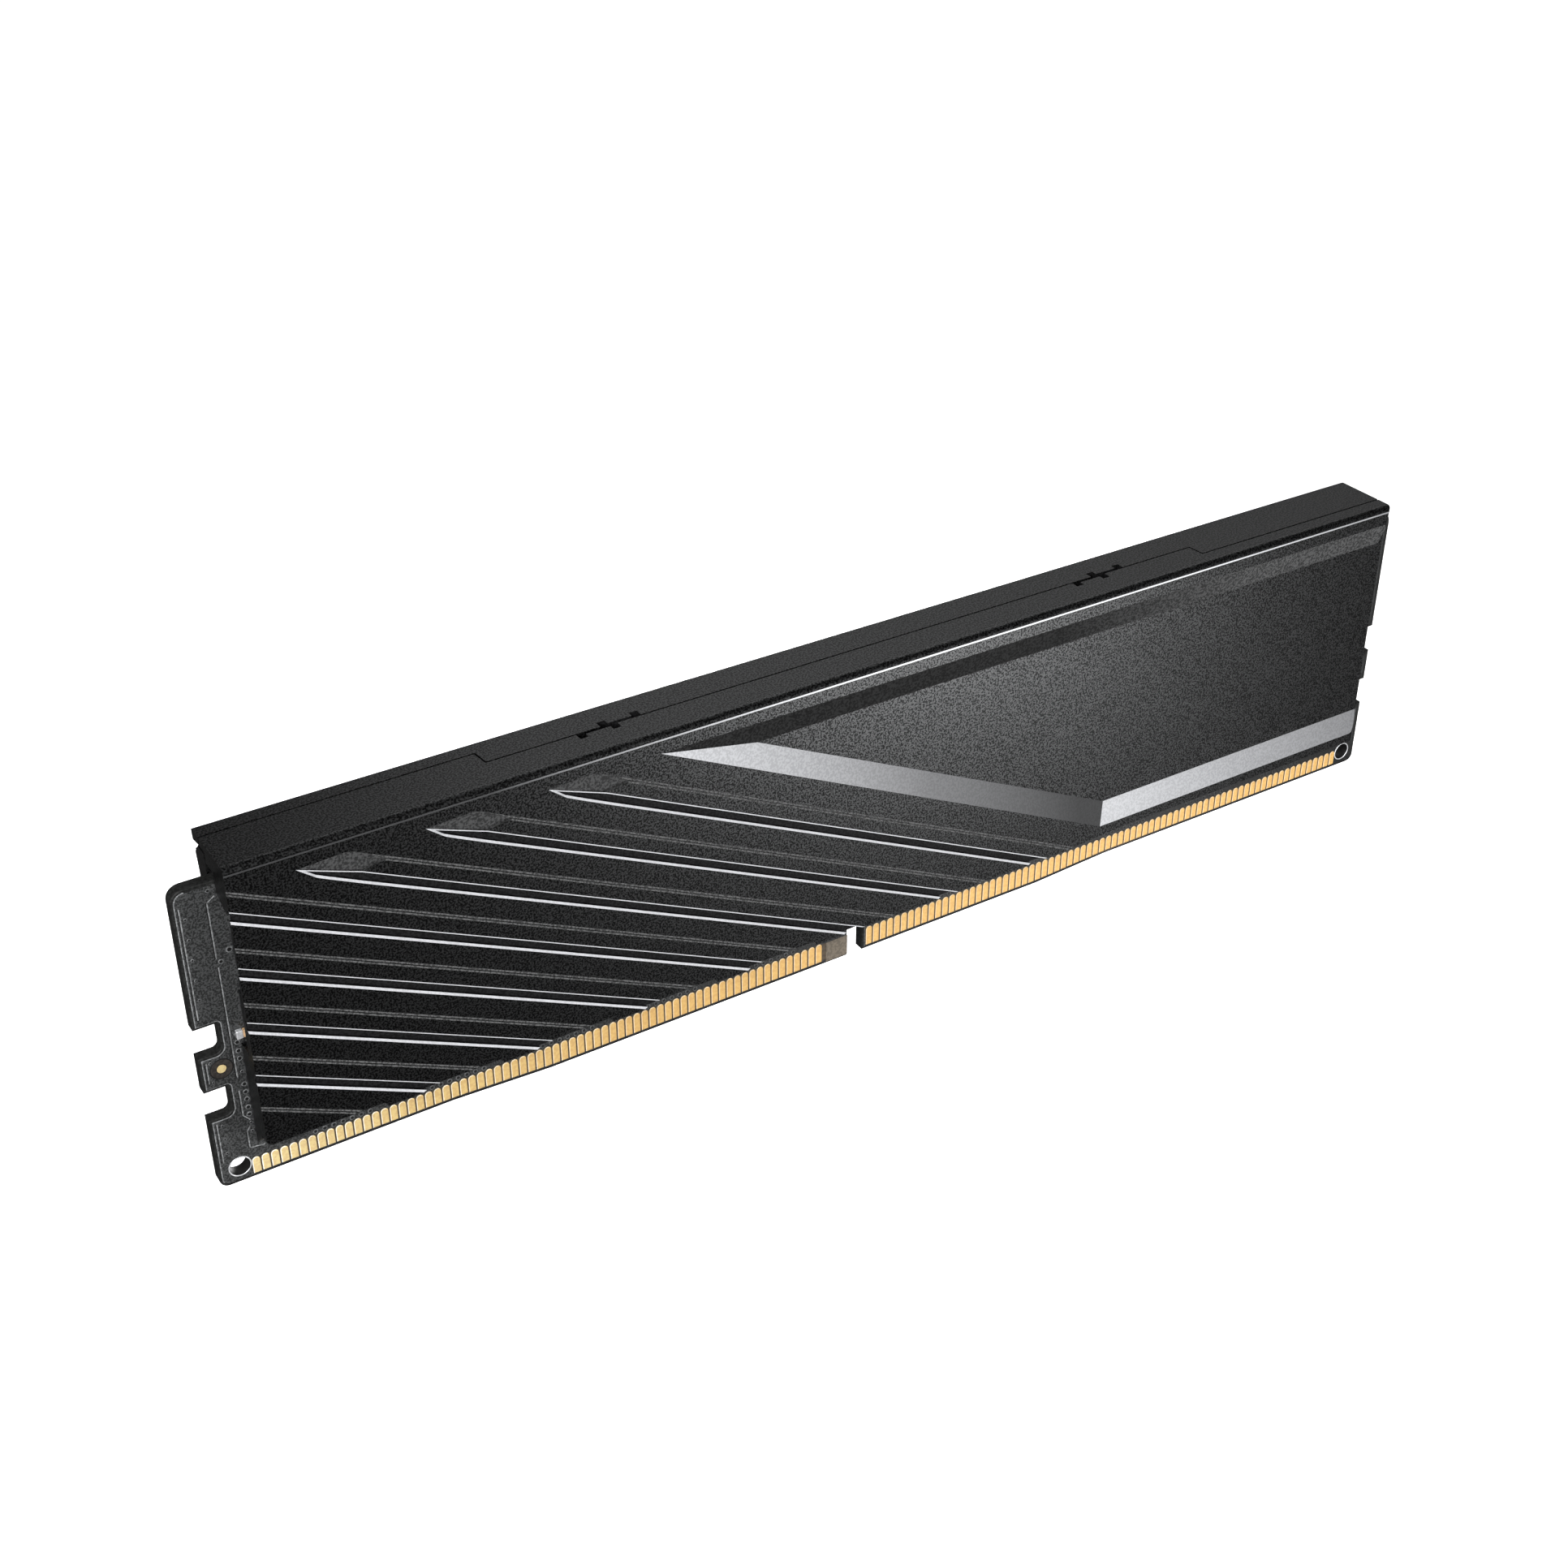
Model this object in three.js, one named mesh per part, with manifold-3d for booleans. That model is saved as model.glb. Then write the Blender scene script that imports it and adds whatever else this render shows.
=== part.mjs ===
// A desktop memory module with a low-profile aluminium heat spreader.
//
// Millimetres, +Z up. X runs along the module, the front faces -Y, and Z = 0 is the deepest
// stretch of the contact edge, under the middle of the board. The two heat spreader shells are
// one pressing used twice: the rear shell is the front one turned half round the Z axis.

import * as THREE from 'three';
import { mergeVertices } from 'three/addons/utils/BufferGeometryUtils.js';
import Module from 'manifold-3d';

const wasm = await Module();
wasm.setup();

// ---------------------------------------------------------------- driving dimensions

const BOARD = { length: 133.35, height: 31.25, thickness: 1.27, topRadius: 1.2, bottomRadius: 0.9 };
const HALF_LENGTH = BOARD.length / 2;
const BOARD_FACE = BOARD.thickness / 2;

// The contact edge is 0.49 mm deeper in its middle, with a ramp at each side.
const EDGE = { lift: 0.49, rampLeft: [-44.8, -34.9], rampRight: [21.5, 30.6] };
const KEY_NOTCH = { left: -2.15, right: -0.33, depth: 4.2 };
const SIDE_NOTCHES = [
    { bottom: 14.6, top: 17.6, depth: 2.1, lowerRadius: 0.6, upperRadius: 0.2 },
    { bottom: 8.0, top: 11.0, depth: 2.1, lowerRadius: 0.6, upperRadius: 0.2 },
];
const PLATED_HOLE = { x: 64.75, z: 2.2, bore: 0.95, plating: 0.15 };

// Contacts: 0.85 mm pitch, 144 on each face, six pitches left free around the key notch.
const CONTACT = { pitch: 0.85, width: 0.62, top: 2.6, aboveEdge: 0.42, thickness: 0.05 };
const BANKS = [{ name: 'left', first: -63.325, count: 69 }, { name: 'right', first: 0.425, count: 75 }];
const CONTACT_WEB = { bottom: 1.9, top: 2.1 };

// Heat spreader shell, written for the front one.
const SHELL = {
    end: 63, top: 34, bottom: 5.42, face: 3.76, wall: 1.4, roof: 0.8,
    bend: 0.6, innerBend: 0.2, cornerCut: 0.4, sideWall: 0.5, boardGap: 0.3,
};
const SHELL_INNER = SHELL.face - SHELL.wall;
const SEAM = { outer: 1.8, step: 38.7, gap: 0.16, lean: 0.1 };
const INTERLOCK = { x: 27, hookPitch: 3.2, hookWidth: 0.8, hookDepth: 0.85, slot: 0.3 };

// End walls. The left one has an upper tab that bridges the board and a lower tab, with a window
// between them where the face's edge is thinned from inside. The right one has an upper tab only.
const END_TAB = {
    inset: 0.2, upperAtFace: 29.5, upperAtBoard: 30.27, bridge: 32.2, lowerTop: 15.1, lowerAtBoard: 4.4,
};
const END_WINDOW = [
    { bottom: 15.1, top: 21.7, edge: 1.07, run: 0.6 },
    { bottom: 21.7, top: 29.5, edge: 0.4, run: 1.5 },
];

// Slanting grooves on the left of the face. The first three start inside it, at a pointed tip.
const GROOVE = {
    slope: -0.4935, pitch: 5.46, width: 1.15, lowerWall: 0.4, depth: 0.5,
    leftTop: 30.05, tipTop: 32, endX: 30,
};
const TIPPED_GROOVES = 3;
const EDGE_GROOVES = 4;
const TIP = { firstX: -57.24, pitch: 11.2, kinkRun: 5.44, kinkDrop: 2.1 };

// Sunken panel on the right of the face, with slanting borders above, below and at its left.
const PANEL = {
    depth: 0.5,
    tip: [-24.2, 32.06],
    outerTop: 32.06, outerBottom: 6.87, outerCorner: 26.85,
    innerTip: [-14.0, 29.73], innerTop: 29.73, innerBottom: 9.55, innerCorner: 27.4,
};

// How far a cutter starts in front of the face that it cuts.
const PROUD = 0.01;

// Parts on the board, all on its front face: width along X, height along Z, thickness along Y.
const LIFT = 0.05;
const CHIP = { width: 10, height: 11, thickness: 1.05, pitch: 12.4, nearest: 18.3, z: 20.5 };
const CHIPS_PER_SIDE = 4;
const CHIP_PAD = { thickness: 0.5, height: 12, overhang: 0.6 };
const REAR_PAD = { halfLength: 56, bottom: 11, top: 28, gap: 0.1 };
const RESISTOR_PACK = { width: 3.2, height: 1.6, thickness: 0.5, z: 9.4 };
const POWER_CHIP = { x: 0, z: 22, width: 5, height: 5, thickness: 0.85 };
const HUB_CHIP = { x: -9, z: 26, width: 3, height: 2, thickness: 0.75 };
const INDUCTOR = { firstX: -4, pitch: 4, count: 3, z: 28, width: 3, height: 3, thickness: 1.2 };
const BULK_CAPACITOR = { firstX: -4.5, pitch: 3, count: 4, z: 16.5, width: 2, height: 1.2, thickness: 1 };
const EDGE_CAPACITOR = { x: -62.5, z: 16.05, width: 1.6, height: 0.8, thickness: 0.45 };

// Materials.
const FINISH = {
    anodised: { color: 0x232425, roughness: 0.55, metalness: 0.8 },
    solderMask: { color: 0x1b1d1d, roughness: 0.5, metalness: 0.1 },
    gold: { color: 0xd9a95c, roughness: 0.3, metalness: 1 },
    silver: { color: 0xb9bcc2, roughness: 0.35, metalness: 1 },
    moulding: { color: 0x17181a, roughness: 0.6, metalness: 0 },
    ferrite: { color: 0x3a3b3e, roughness: 0.7, metalness: 0.1 },
    ceramic: { color: 0xb08f68, roughness: 0.5, metalness: 0 },
    pad: { color: 0x8d97a0, roughness: 0.9, metalness: 0 },
};

// ---------------------------------------------------------------- geometry helpers

function toShape(points) {
    return new THREE.Shape(points.map(([a, b]) => new THREE.Vector2(a, b)));
}

function extrude(points, depth) {
    return new THREE.ExtrudeGeometry(toShape(points), { depth, bevelEnabled: false });
}

// An outline in X and Z, given a thickness from yFront back to yBack.
function plate(points, yFront, yBack) {
    const geometry = extrude(points, yBack - yFront);
    geometry.rotateX(Math.PI / 2);
    geometry.translate(0, yBack, 0);
    return geometry;
}

// A section in Y and Z, drawn out along X.
function bar(section, xStart, xEnd) {
    const geometry = extrude(section, xEnd - xStart);
    geometry.applyMatrix4(new THREE.Matrix4().set(0, 0, 1, xStart, 1, 0, 0, 0, 0, 1, 0, 0, 0, 0, 0, 1));
    return geometry;
}

// An outline in X and Y, standing from zBottom up to zTop.
function slab(points, zBottom, zTop) {
    return extrude(points, zTop - zBottom).translate(0, 0, zBottom);
}

function block(xMin, xMax, yMin, yMax, zMin, zMax) {
    return slab([[xMin, yMin], [xMax, yMin], [xMax, yMax], [xMin, yMax]], zMin, zMax);
}

// A solid between an outline in X and Z at one Y and an outline with as many points at another.
function taper(frontOutline, yFront, backOutline, yBack) {
    const contour = frontOutline.map(([x, z]) => new THREE.Vector2(x, z));
    if (THREE.ShapeUtils.isClockWise(contour)) {
        return taper([...frontOutline].reverse(), yFront, [...backOutline].reverse(), yBack);
    }
    const count = contour.length;
    const corners = [
        ...frontOutline.map(([x, z]) => [x, yFront, z]),
        ...backOutline.map(([x, z]) => [x, yBack, z]),
    ];
    const faces = [];
    for (const [a, b, c] of THREE.ShapeUtils.triangulateShape(contour, [])) {
        faces.push(a, b, c);
        faces.push(a + count, c + count, b + count);
    }
    for (let i = 0; i < count; i++) {
        const j = (i + 1) % count;
        faces.push(i, i + count, j + count);
        faces.push(i, j + count, j);
    }
    const geometry = new THREE.BufferGeometry();
    geometry.setAttribute('position', new THREE.Float32BufferAttribute(corners.flat(), 3));
    geometry.setIndex(faces);
    return geometry;
}

function toSolid(geometry) {
    const plain = geometry.clone();
    plain.deleteAttribute('normal');
    plain.deleteAttribute('uv');
    const welded = mergeVertices(plain, 1e-4);
    const mesh = new wasm.Mesh({
        numProp: 3,
        vertProperties: new Float32Array(welded.attributes.position.array),
        triVerts: new Uint32Array(welded.index.array),
    });
    return new wasm.Manifold(mesh);
}

function toGeometry(solid) {
    const mesh = solid.getMesh();
    const geometry = new THREE.BufferGeometry();
    geometry.setAttribute('position', new THREE.Float32BufferAttribute(mesh.vertProperties, 3));
    geometry.setIndex(Array.from(mesh.triVerts));
    geometry.computeVertexNormals();
    return geometry;
}

// Points on an arc from one angle to another, both included, in degrees.
function arc(centreA, centreB, radius, fromAngle, toAngle, steps = 4) {
    const points = [];
    for (let i = 0; i <= steps; i++) {
        const angle = THREE.MathUtils.degToRad(fromAngle + ((toAngle - fromAngle) * i) / steps);
        points.push([centreA + radius * Math.cos(angle), centreB + radius * Math.sin(angle)]);
    }
    return points;
}

function circle(centreA, centreB, radius, steps = 20) {
    return arc(centreA, centreB, radius, 0, 360, steps).slice(0, -1);
}

// ---------------------------------------------------------------- circuit board

// Height of the contact edge at a place along the board.
function edgeHeight(x) {
    const left = THREE.MathUtils.inverseLerp(EDGE.rampLeft[1], EDGE.rampLeft[0], x);
    const right = THREE.MathUtils.inverseLerp(EDGE.rampRight[0], EDGE.rampRight[1], x);
    return EDGE.lift * THREE.MathUtils.clamp(Math.max(left, right), 0, 1);
}

function boardOutline() {
    const { height, topRadius, bottomRadius } = BOARD;
    const cornerX = HALF_LENGTH - bottomRadius;
    const topX = HALF_LENGTH - topRadius;
    const bottomZ = EDGE.lift + bottomRadius;
    return [
        ...arc(-cornerX, bottomZ, bottomRadius, 180, 270),
        [EDGE.rampLeft[0], EDGE.lift],
        [EDGE.rampLeft[1], 0],
        [EDGE.rampRight[0], 0],
        [EDGE.rampRight[1], EDGE.lift],
        ...arc(cornerX, bottomZ, bottomRadius, 270, 360),
        ...arc(topX, height - topRadius, topRadius, 0, 90),
        ...arc(-topX, height - topRadius, topRadius, 90, 180),
    ];
}

// The key notch runs up from the contact edge and ends round.
function keyNotchOutline() {
    const radius = (KEY_NOTCH.right - KEY_NOTCH.left) / 2;
    const middle = KEY_NOTCH.left + radius;
    return [
        [KEY_NOTCH.left, -1],
        [KEY_NOTCH.right, -1],
        ...arc(middle, KEY_NOTCH.depth - radius, radius, 0, 180, 8),
    ];
}

function sideNotchOutline(notch, side) {
    const outer = HALF_LENGTH + 1;
    const inner = HALF_LENGTH - notch.depth;
    const { bottom, top, lowerRadius, upperRadius } = notch;
    const outline = [
        [outer, bottom],
        [outer, top],
        ...arc(inner + upperRadius, top - upperRadius, upperRadius, 90, 180),
        ...arc(inner + lowerRadius, bottom + lowerRadius, lowerRadius, 180, 270),
    ];
    return outline.map(([x, z]) => [side * x, z]);
}

function circuitBoard() {
    const through = BOARD_FACE + 1;
    let board = toSolid(plate(boardOutline(), -BOARD_FACE, BOARD_FACE));
    board = board.subtract(toSolid(plate(keyNotchOutline(), -through, through)));
    for (const side of [-1, 1]) {
        for (const notch of SIDE_NOTCHES) {
            board = board.subtract(toSolid(plate(sideNotchOutline(notch, side), -through, through)));
        }
        const holeRadius = PLATED_HOLE.bore + PLATED_HOLE.plating + LIFT;
        const hole = circle(side * PLATED_HOLE.x, PLATED_HOLE.z, holeRadius);
        board = board.subtract(toSolid(plate(hole, -through, through)));
    }
    return toGeometry(board);
}

// The plated barrel of a corner hole, standing a little proud of both faces.
function platedHole(side) {
    const reach = BOARD_FACE + LIFT;
    const { x, z, bore, plating } = PLATED_HOLE;
    const barrel = toSolid(plate(circle(side * x, z, bore + plating), -reach, reach));
    return toGeometry(barrel.subtract(toSolid(plate(circle(side * x, z, bore), -reach - 1, reach + 1))));
}

// A bank of contacts: one comb of fingers, held together by the thin plating bar across them.
function contactBank(bank, face) {
    const { pitch, width, top, aboveEdge, thickness } = CONTACT;
    const lower = [];
    const upper = [];
    for (let i = 0; i < bank.count; i++) {
        const x = bank.first + i * pitch;
        const left = x - width / 2;
        const right = x + width / 2;
        const bottom = edgeHeight(x) + aboveEdge;
        if (i > 0) {
            lower.push([left, CONTACT_WEB.bottom]);
            upper.push([left, CONTACT_WEB.top]);
        }
        lower.push([left, bottom], [right, bottom]);
        upper.push([left, top], [right, top]);
        if (i < bank.count - 1) {
            lower.push([right, CONTACT_WEB.bottom]);
            upper.push([right, CONTACT_WEB.top]);
        }
    }
    const outline = [...lower, ...upper.reverse()];
    const inner = BOARD_FACE + LIFT;
    const outer = inner + thickness;
    return face === 'front' ? plate(outline, -outer, -inner) : plate(outline, inner, outer);
}

// ---------------------------------------------------------------- heat spreader

// Section of the shell in Y and Z: the face, the bend over the top, and the roof.
function shellSection() {
    const { face, bottom, top, bend, innerBend, roof } = SHELL;
    const roofReach = SEAM.outer + 1;
    return [
        [-face, bottom],
        [-SHELL_INNER, bottom],
        ...arc(-SHELL_INNER + innerBend, top - roof - innerBend, innerBend, 180, 90, 2),
        [roofReach, top - roof],
        [roofReach, top],
        ...arc(-face + bend, top - bend, bend, 90, 180, 5),
    ];
}

// Outline of the face in X and Z: its lower edge keeps its distance from the contact edge.
function faceOutline() {
    const { end, top, bottom, cornerCut } = SHELL;
    const raised = bottom + EDGE.lift;
    return [
        [-end, raised + cornerCut],
        [-end + cornerCut, raised],
        [EDGE.rampLeft[0], raised],
        [EDGE.rampLeft[1], bottom],
        [EDGE.rampRight[0], bottom],
        [EDGE.rampRight[1], raised],
        [end - cornerCut, raised],
        [end, raised + cornerCut],
        [end, top + 1],
        [-end, top + 1],
    ];
}

// Outline of the shell from above, in X and Y. The roof reaches past the middle at the left and
// stops short of it at the right, so that two shells meet along a stepped seam.
function roofOutline() {
    const { end, face } = SHELL;
    const half = SEAM.gap / 2;
    return [
        [-end, -face - 1],
        [end, -face - 1],
        [end, -SEAM.outer - half],
        [SEAM.step + SEAM.lean, -SEAM.outer - half],
        [SEAM.step - SEAM.lean, -half],
        [-SEAM.step + SEAM.lean - 2 * half, -half],
        [-SEAM.step - SEAM.lean - 2 * half, SEAM.outer - half],
        [-end, SEAM.outer - half],
    ];
}

// Relief slots in the roof's middle edge, where the other shell's tabs lock in.
function interlockCuts() {
    const { x, hookPitch, hookWidth, hookDepth, slot } = INTERLOCK;
    const cuts = [];
    const under = SHELL.top - 2 * SHELL.roof;
    const over = SHELL.top + 1;
    for (const middle of [-x, x]) {
        for (const hookX of [middle - hookPitch, middle]) {
            cuts.push(block(hookX, hookX + hookWidth, -hookDepth, 1, under, over));
        }
        cuts.push(block(middle - hookPitch, middle, -slot, 1, under, over));
    }
    return cuts;
}

// One groove, given its upper line from left to right: a channel with an upright upper wall and a
// lower wall that slopes out to the face. A pointed groove opens from its first point.
function groove(upper, pointed) {
    const { width, depth, slope, lowerWall } = GROOVE;
    const [lastX, lastZ] = upper[upper.length - 1];
    const lower = upper.map(([x]) => [x, lastZ + slope * (x - lastX) - width]).reverse();
    if (pointed) {
        lower.pop();
    }
    const outer = [...upper, ...lower];
    const inner = [...upper, ...lower.map(([x, z]) => [x, z + lowerWall])];
    return taper(outer, -SHELL.face - PROUD, inner, -SHELL.face + depth);
}

function grooves() {
    const { slope, pitch, leftTop, tipTop, endX } = GROOVE;
    const startX = -SHELL.end - 1;
    const list = [];
    for (let i = 0; i < EDGE_GROOVES; i++) {
        const startZ = leftTop - i * pitch - slope;
        list.push(groove([[startX, startZ], [endX, startZ + slope * (endX - startX)]], false));
    }
    for (let i = 0; i < TIPPED_GROOVES; i++) {
        const tip = [TIP.firstX + i * TIP.pitch, tipTop];
        const kink = [tip[0] + TIP.kinkRun, tip[1] - TIP.kinkDrop];
        const lastX = endX + i * TIP.pitch;
        list.push(groove([tip, kink, [lastX, kink[1] + slope * (lastX - kink[0])]], true));
    }
    return list;
}

// The sunken panel's pocket, open at the shell's right end.
function panelPocket() {
    const past = SHELL.end + 1;
    const outer = [PANEL.tip, [PANEL.outerCorner, PANEL.outerBottom],
        [past, PANEL.outerBottom], [past, PANEL.outerTop]];
    const inner = [PANEL.innerTip, [PANEL.innerCorner, PANEL.innerBottom],
        [past, PANEL.innerBottom], [past, PANEL.innerTop]];
    return taper(outer, -SHELL.face - PROUD, inner, -SHELL.face + PANEL.depth);
}

function endTabs() {
    const { inset, upperAtFace, upperAtBoard, bridge, lowerTop, lowerAtBoard } = END_TAB;
    const inner = -SHELL_INNER - inset;
    const edge = -BOARD_FACE - SHELL.boardGap;
    const roofUnder = SHELL.top - SHELL.roof + inset;
    const underOther = SHELL.top - SHELL.roof - SHELL.boardGap;
    const upperLeft = [[inner, upperAtFace], [edge, upperAtBoard], [edge, bridge], [BOARD_FACE, bridge],
        [BOARD_FACE, roofUnder], [inner, roofUnder]];
    // The right tab steps down under the other shell's roof, which reaches over it.
    const step = -SEAM.outer - inset;
    const upperRight = [[inner, upperAtFace], [edge, upperAtBoard], [edge, underOther], [step, underOther],
        [step, roofUnder], [inner, roofUnder]];
    const lowerLeft = [[inner, SHELL.bottom + EDGE.lift], [edge, lowerAtBoard], [edge, lowerTop],
        [inner, lowerTop]];
    const wallStart = SHELL.end - SHELL.sideWall;
    return [
        bar(upperLeft, -SHELL.end, -wallStart),
        bar(lowerLeft, -SHELL.end, -wallStart),
        bar(upperRight, wallStart, SHELL.end),
    ];
}

// Wedges cut from the inner side of the face's left edge, between the tabs.
function endWindowCuts() {
    const behind = -SHELL_INNER + 1;
    return END_WINDOW.map(({ bottom, top, edge, run }) => {
        const edgeY = -SHELL.face + edge;
        const outline = [[-SHELL.end - 1, edgeY], [-SHELL.end, edgeY], [-SHELL.end + run, -SHELL_INNER],
            [-SHELL.end + run, behind], [-SHELL.end - 1, behind]];
        return slab(outline, bottom, top);
    });
}

function heatSpreader() {
    const { end, top, face } = SHELL;
    let shell = toSolid(bar(shellSection(), -end, end));
    shell = shell.intersect(toSolid(plate(faceOutline(), -face - 1, SEAM.outer + 2)));
    shell = shell.intersect(toSolid(slab(roofOutline(), 0, top + 1)));
    for (const tab of endTabs()) {
        shell = shell.add(toSolid(tab));
    }
    for (const cut of [...endWindowCuts(), ...interlockCuts(), ...grooves(), panelPocket()]) {
        shell = shell.subtract(toSolid(cut));
    }
    return toGeometry(shell);
}

// ---------------------------------------------------------------- parts on the board

// A flat box on the board's front face, standing off it by its solder.
function onFront(xMiddle, zMiddle, size) {
    const back = -BOARD_FACE - LIFT;
    const halfWidth = size.width / 2;
    const halfHeight = size.height / 2;
    return block(xMiddle - halfWidth, xMiddle + halfWidth, back - size.thickness, back,
        zMiddle - halfHeight, zMiddle + halfHeight);
}

function chipPlaces() {
    const places = [];
    for (const side of [-1, 1]) {
        for (let i = 0; i < CHIPS_PER_SIDE; i++) {
            places.push(side * (CHIP.nearest + i * CHIP.pitch));
        }
    }
    return places.sort((a, b) => a - b);
}

// A thermal pad that fills the space between the chips' tops and the shell's inner face.
function chipPad(side) {
    const near = CHIP.nearest - CHIP.width / 2 - CHIP_PAD.overhang;
    const far = CHIP.nearest + (CHIPS_PER_SIDE - 1) * CHIP.pitch + CHIP.width / 2 + CHIP_PAD.overhang;
    const back = -BOARD_FACE - LIFT - CHIP.thickness - LIFT;
    const x = [side * near, side * far].sort((a, b) => a - b);
    return block(x[0], x[1], back - CHIP_PAD.thickness, back,
        CHIP.z - CHIP_PAD.height / 2, CHIP.z + CHIP_PAD.height / 2);
}

// The foam pad that fills the space between the board's rear face and the rear shell.
function rearPad() {
    const { halfLength, bottom, top, gap } = REAR_PAD;
    return block(-halfLength, halfLength, BOARD_FACE + gap, SHELL_INNER - LIFT, bottom, top);
}

// ---------------------------------------------------------------- assembly

const memoryModule = new THREE.Group();
const turned = new THREE.Group();
turned.rotation.z = Math.PI;
memoryModule.add(turned);

function addPart(name, geometry, finish, parent = memoryModule) {
    const mesh = new THREE.Mesh(geometry, new THREE.MeshStandardMaterial(FINISH[finish]));
    mesh.name = name;
    parent.add(mesh);
}

// A numbered row of the same part along the board.
function addRow(name, part, finish) {
    for (let i = 0; i < part.count; i++) {
        addPart(`${name}_${i + 1}`, onFront(part.firstX + i * part.pitch, part.z, part), finish);
    }
}

addPart('circuit_board', circuitBoard(), 'solderMask');
addPart('front_heat_spreader', heatSpreader(), 'anodised');
addPart('rear_heat_spreader', heatSpreader(), 'anodised', turned);

for (const face of ['front', 'rear']) {
    for (const bank of BANKS) {
        addPart(`contacts_${face}_${bank.name}`, contactBank(bank, face), 'gold');
    }
}
addPart('plated_hole_left', platedHole(-1), 'silver');
addPart('plated_hole_right', platedHole(1), 'silver');

chipPlaces().forEach((x, i) => {
    addPart(`memory_chip_${i + 1}`, onFront(x, CHIP.z, CHIP), 'moulding');
    addPart(`resistor_pack_${i + 1}`, onFront(x, RESISTOR_PACK.z, RESISTOR_PACK), 'ceramic');
});
addPart('chip_pad_left', chipPad(-1), 'pad');
addPart('chip_pad_right', chipPad(1), 'pad');
addPart('rear_foam_pad', rearPad(), 'pad');

addPart('power_chip', onFront(POWER_CHIP.x, POWER_CHIP.z, POWER_CHIP), 'moulding');
addPart('hub_chip', onFront(HUB_CHIP.x, HUB_CHIP.z, HUB_CHIP), 'moulding');
addRow('inductor', INDUCTOR, 'ferrite');
addRow('bulk_capacitor', BULK_CAPACITOR, 'ceramic');
addPart('edge_capacitor', onFront(EDGE_CAPACITOR.x, EDGE_CAPACITOR.z, EDGE_CAPACITOR), 'ceramic');

export default memoryModule;
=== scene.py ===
"""A desktop memory module with a low-profile aluminium heat spreader, in a plain white studio.

Lengths are millimetres until make_piece() turns them into metres. X runs along the module, the
front faces -Y, and Z = 0 is the deepest stretch of the contact edge.
"""

import math

import bpy
from mathutils import Matrix, Vector


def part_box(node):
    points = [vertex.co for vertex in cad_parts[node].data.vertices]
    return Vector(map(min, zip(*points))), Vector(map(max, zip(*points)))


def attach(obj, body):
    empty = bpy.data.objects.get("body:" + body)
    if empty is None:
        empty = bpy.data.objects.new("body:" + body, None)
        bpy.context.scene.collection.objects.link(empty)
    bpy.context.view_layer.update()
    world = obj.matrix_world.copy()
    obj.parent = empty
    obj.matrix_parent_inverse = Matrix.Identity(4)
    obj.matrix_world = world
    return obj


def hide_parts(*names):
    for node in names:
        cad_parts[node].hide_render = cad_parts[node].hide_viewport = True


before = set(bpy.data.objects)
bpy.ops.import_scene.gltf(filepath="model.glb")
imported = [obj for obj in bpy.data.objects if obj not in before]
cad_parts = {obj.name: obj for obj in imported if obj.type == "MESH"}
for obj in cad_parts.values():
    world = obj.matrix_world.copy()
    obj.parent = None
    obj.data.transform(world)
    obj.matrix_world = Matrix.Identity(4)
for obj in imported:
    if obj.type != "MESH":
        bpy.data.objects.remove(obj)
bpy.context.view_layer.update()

MM = 0.001

# ---------------------------------------------------------------- the object's sizes

BOARD_FACE = 0.635
BOARD_END = 66.675
EDGE_LIFT = 0.49
EDGE_RAMP_LEFT = (-44.8, -34.9)
EDGE_RAMP_RIGHT = (21.5, 30.6)

# How far a cutting shape runs past the metal, and how far outside the face a shallow cut starts.
PAST = 1
SKIM = 0.02
PANEL_SKIM = 0.01

# Heat spreader shell, written for the front one.
SHELL_END = 63.0
SHELL_TOP = 34.0
SHELL_BOTTOM = 5.42
FACE = 3.76
WALL = 1.4
ROOF = 0.8
BEND = 0.6
BEND_END_ANGLE = 165
INNER_CORNER = 0.2
CREASE = 0.14
CREASE_SET_BACK = 0.04
CORNER_CUT = 0.4
EDGE_STEP = 0.35
END_WALL = 0.5
END_ROUND = 0.9
END_ROUND_UPTO = 30.0
ROOF_END_ROUND = 0.35
BOARD_GAP = 0.3
BOARD_TOP = 31.25
TAB_INSET = 0.2
TAB_AT_FACE = 29.5
TAB_AT_BOARD = 30.27
TAB_BRIDGE = 32.2
LOWER_TAB_TOP = 15.1
LOWER_TAB_AT_BOARD = 4.4
# The face's thinned left edge: bottom, top, thickness left, and how far in the thinning runs.
END_WINDOW = [(15.1, 21.7, 1.07, 0.6), (21.7, 29.5, 0.4, 1.5)]
SEAM_OUTER = 1.8
SEAM_STEP = 38.7
SEAM_GAP = 0.16
SEAM_LEAN = 0.1
LOCK_X = 27.0
LOCK_PITCH = 3.2
LOCK_WIDTH = 0.8
LOCK_DEPTH = 0.85
LOCK_SLOT = 0.3
# Where the panel's upper slope ends on a slant: how far in from the shell's end, at its foot and top,
# and how far below the slope the cut starts.
MITRE_FOOT = 0.7
MITRE_TOP = 0.1
MITRE_BELOW = 0.1
# The nick under the rear shell's roof, as a section in Y and Z and a length.
NICK_SECTION = [(-2.0, 33.2), (-FACE - PAST, 32.7), (-FACE - PAST, 31.9), (-3.2, 31.95)]
NICK_LENGTH = 0.9

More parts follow.
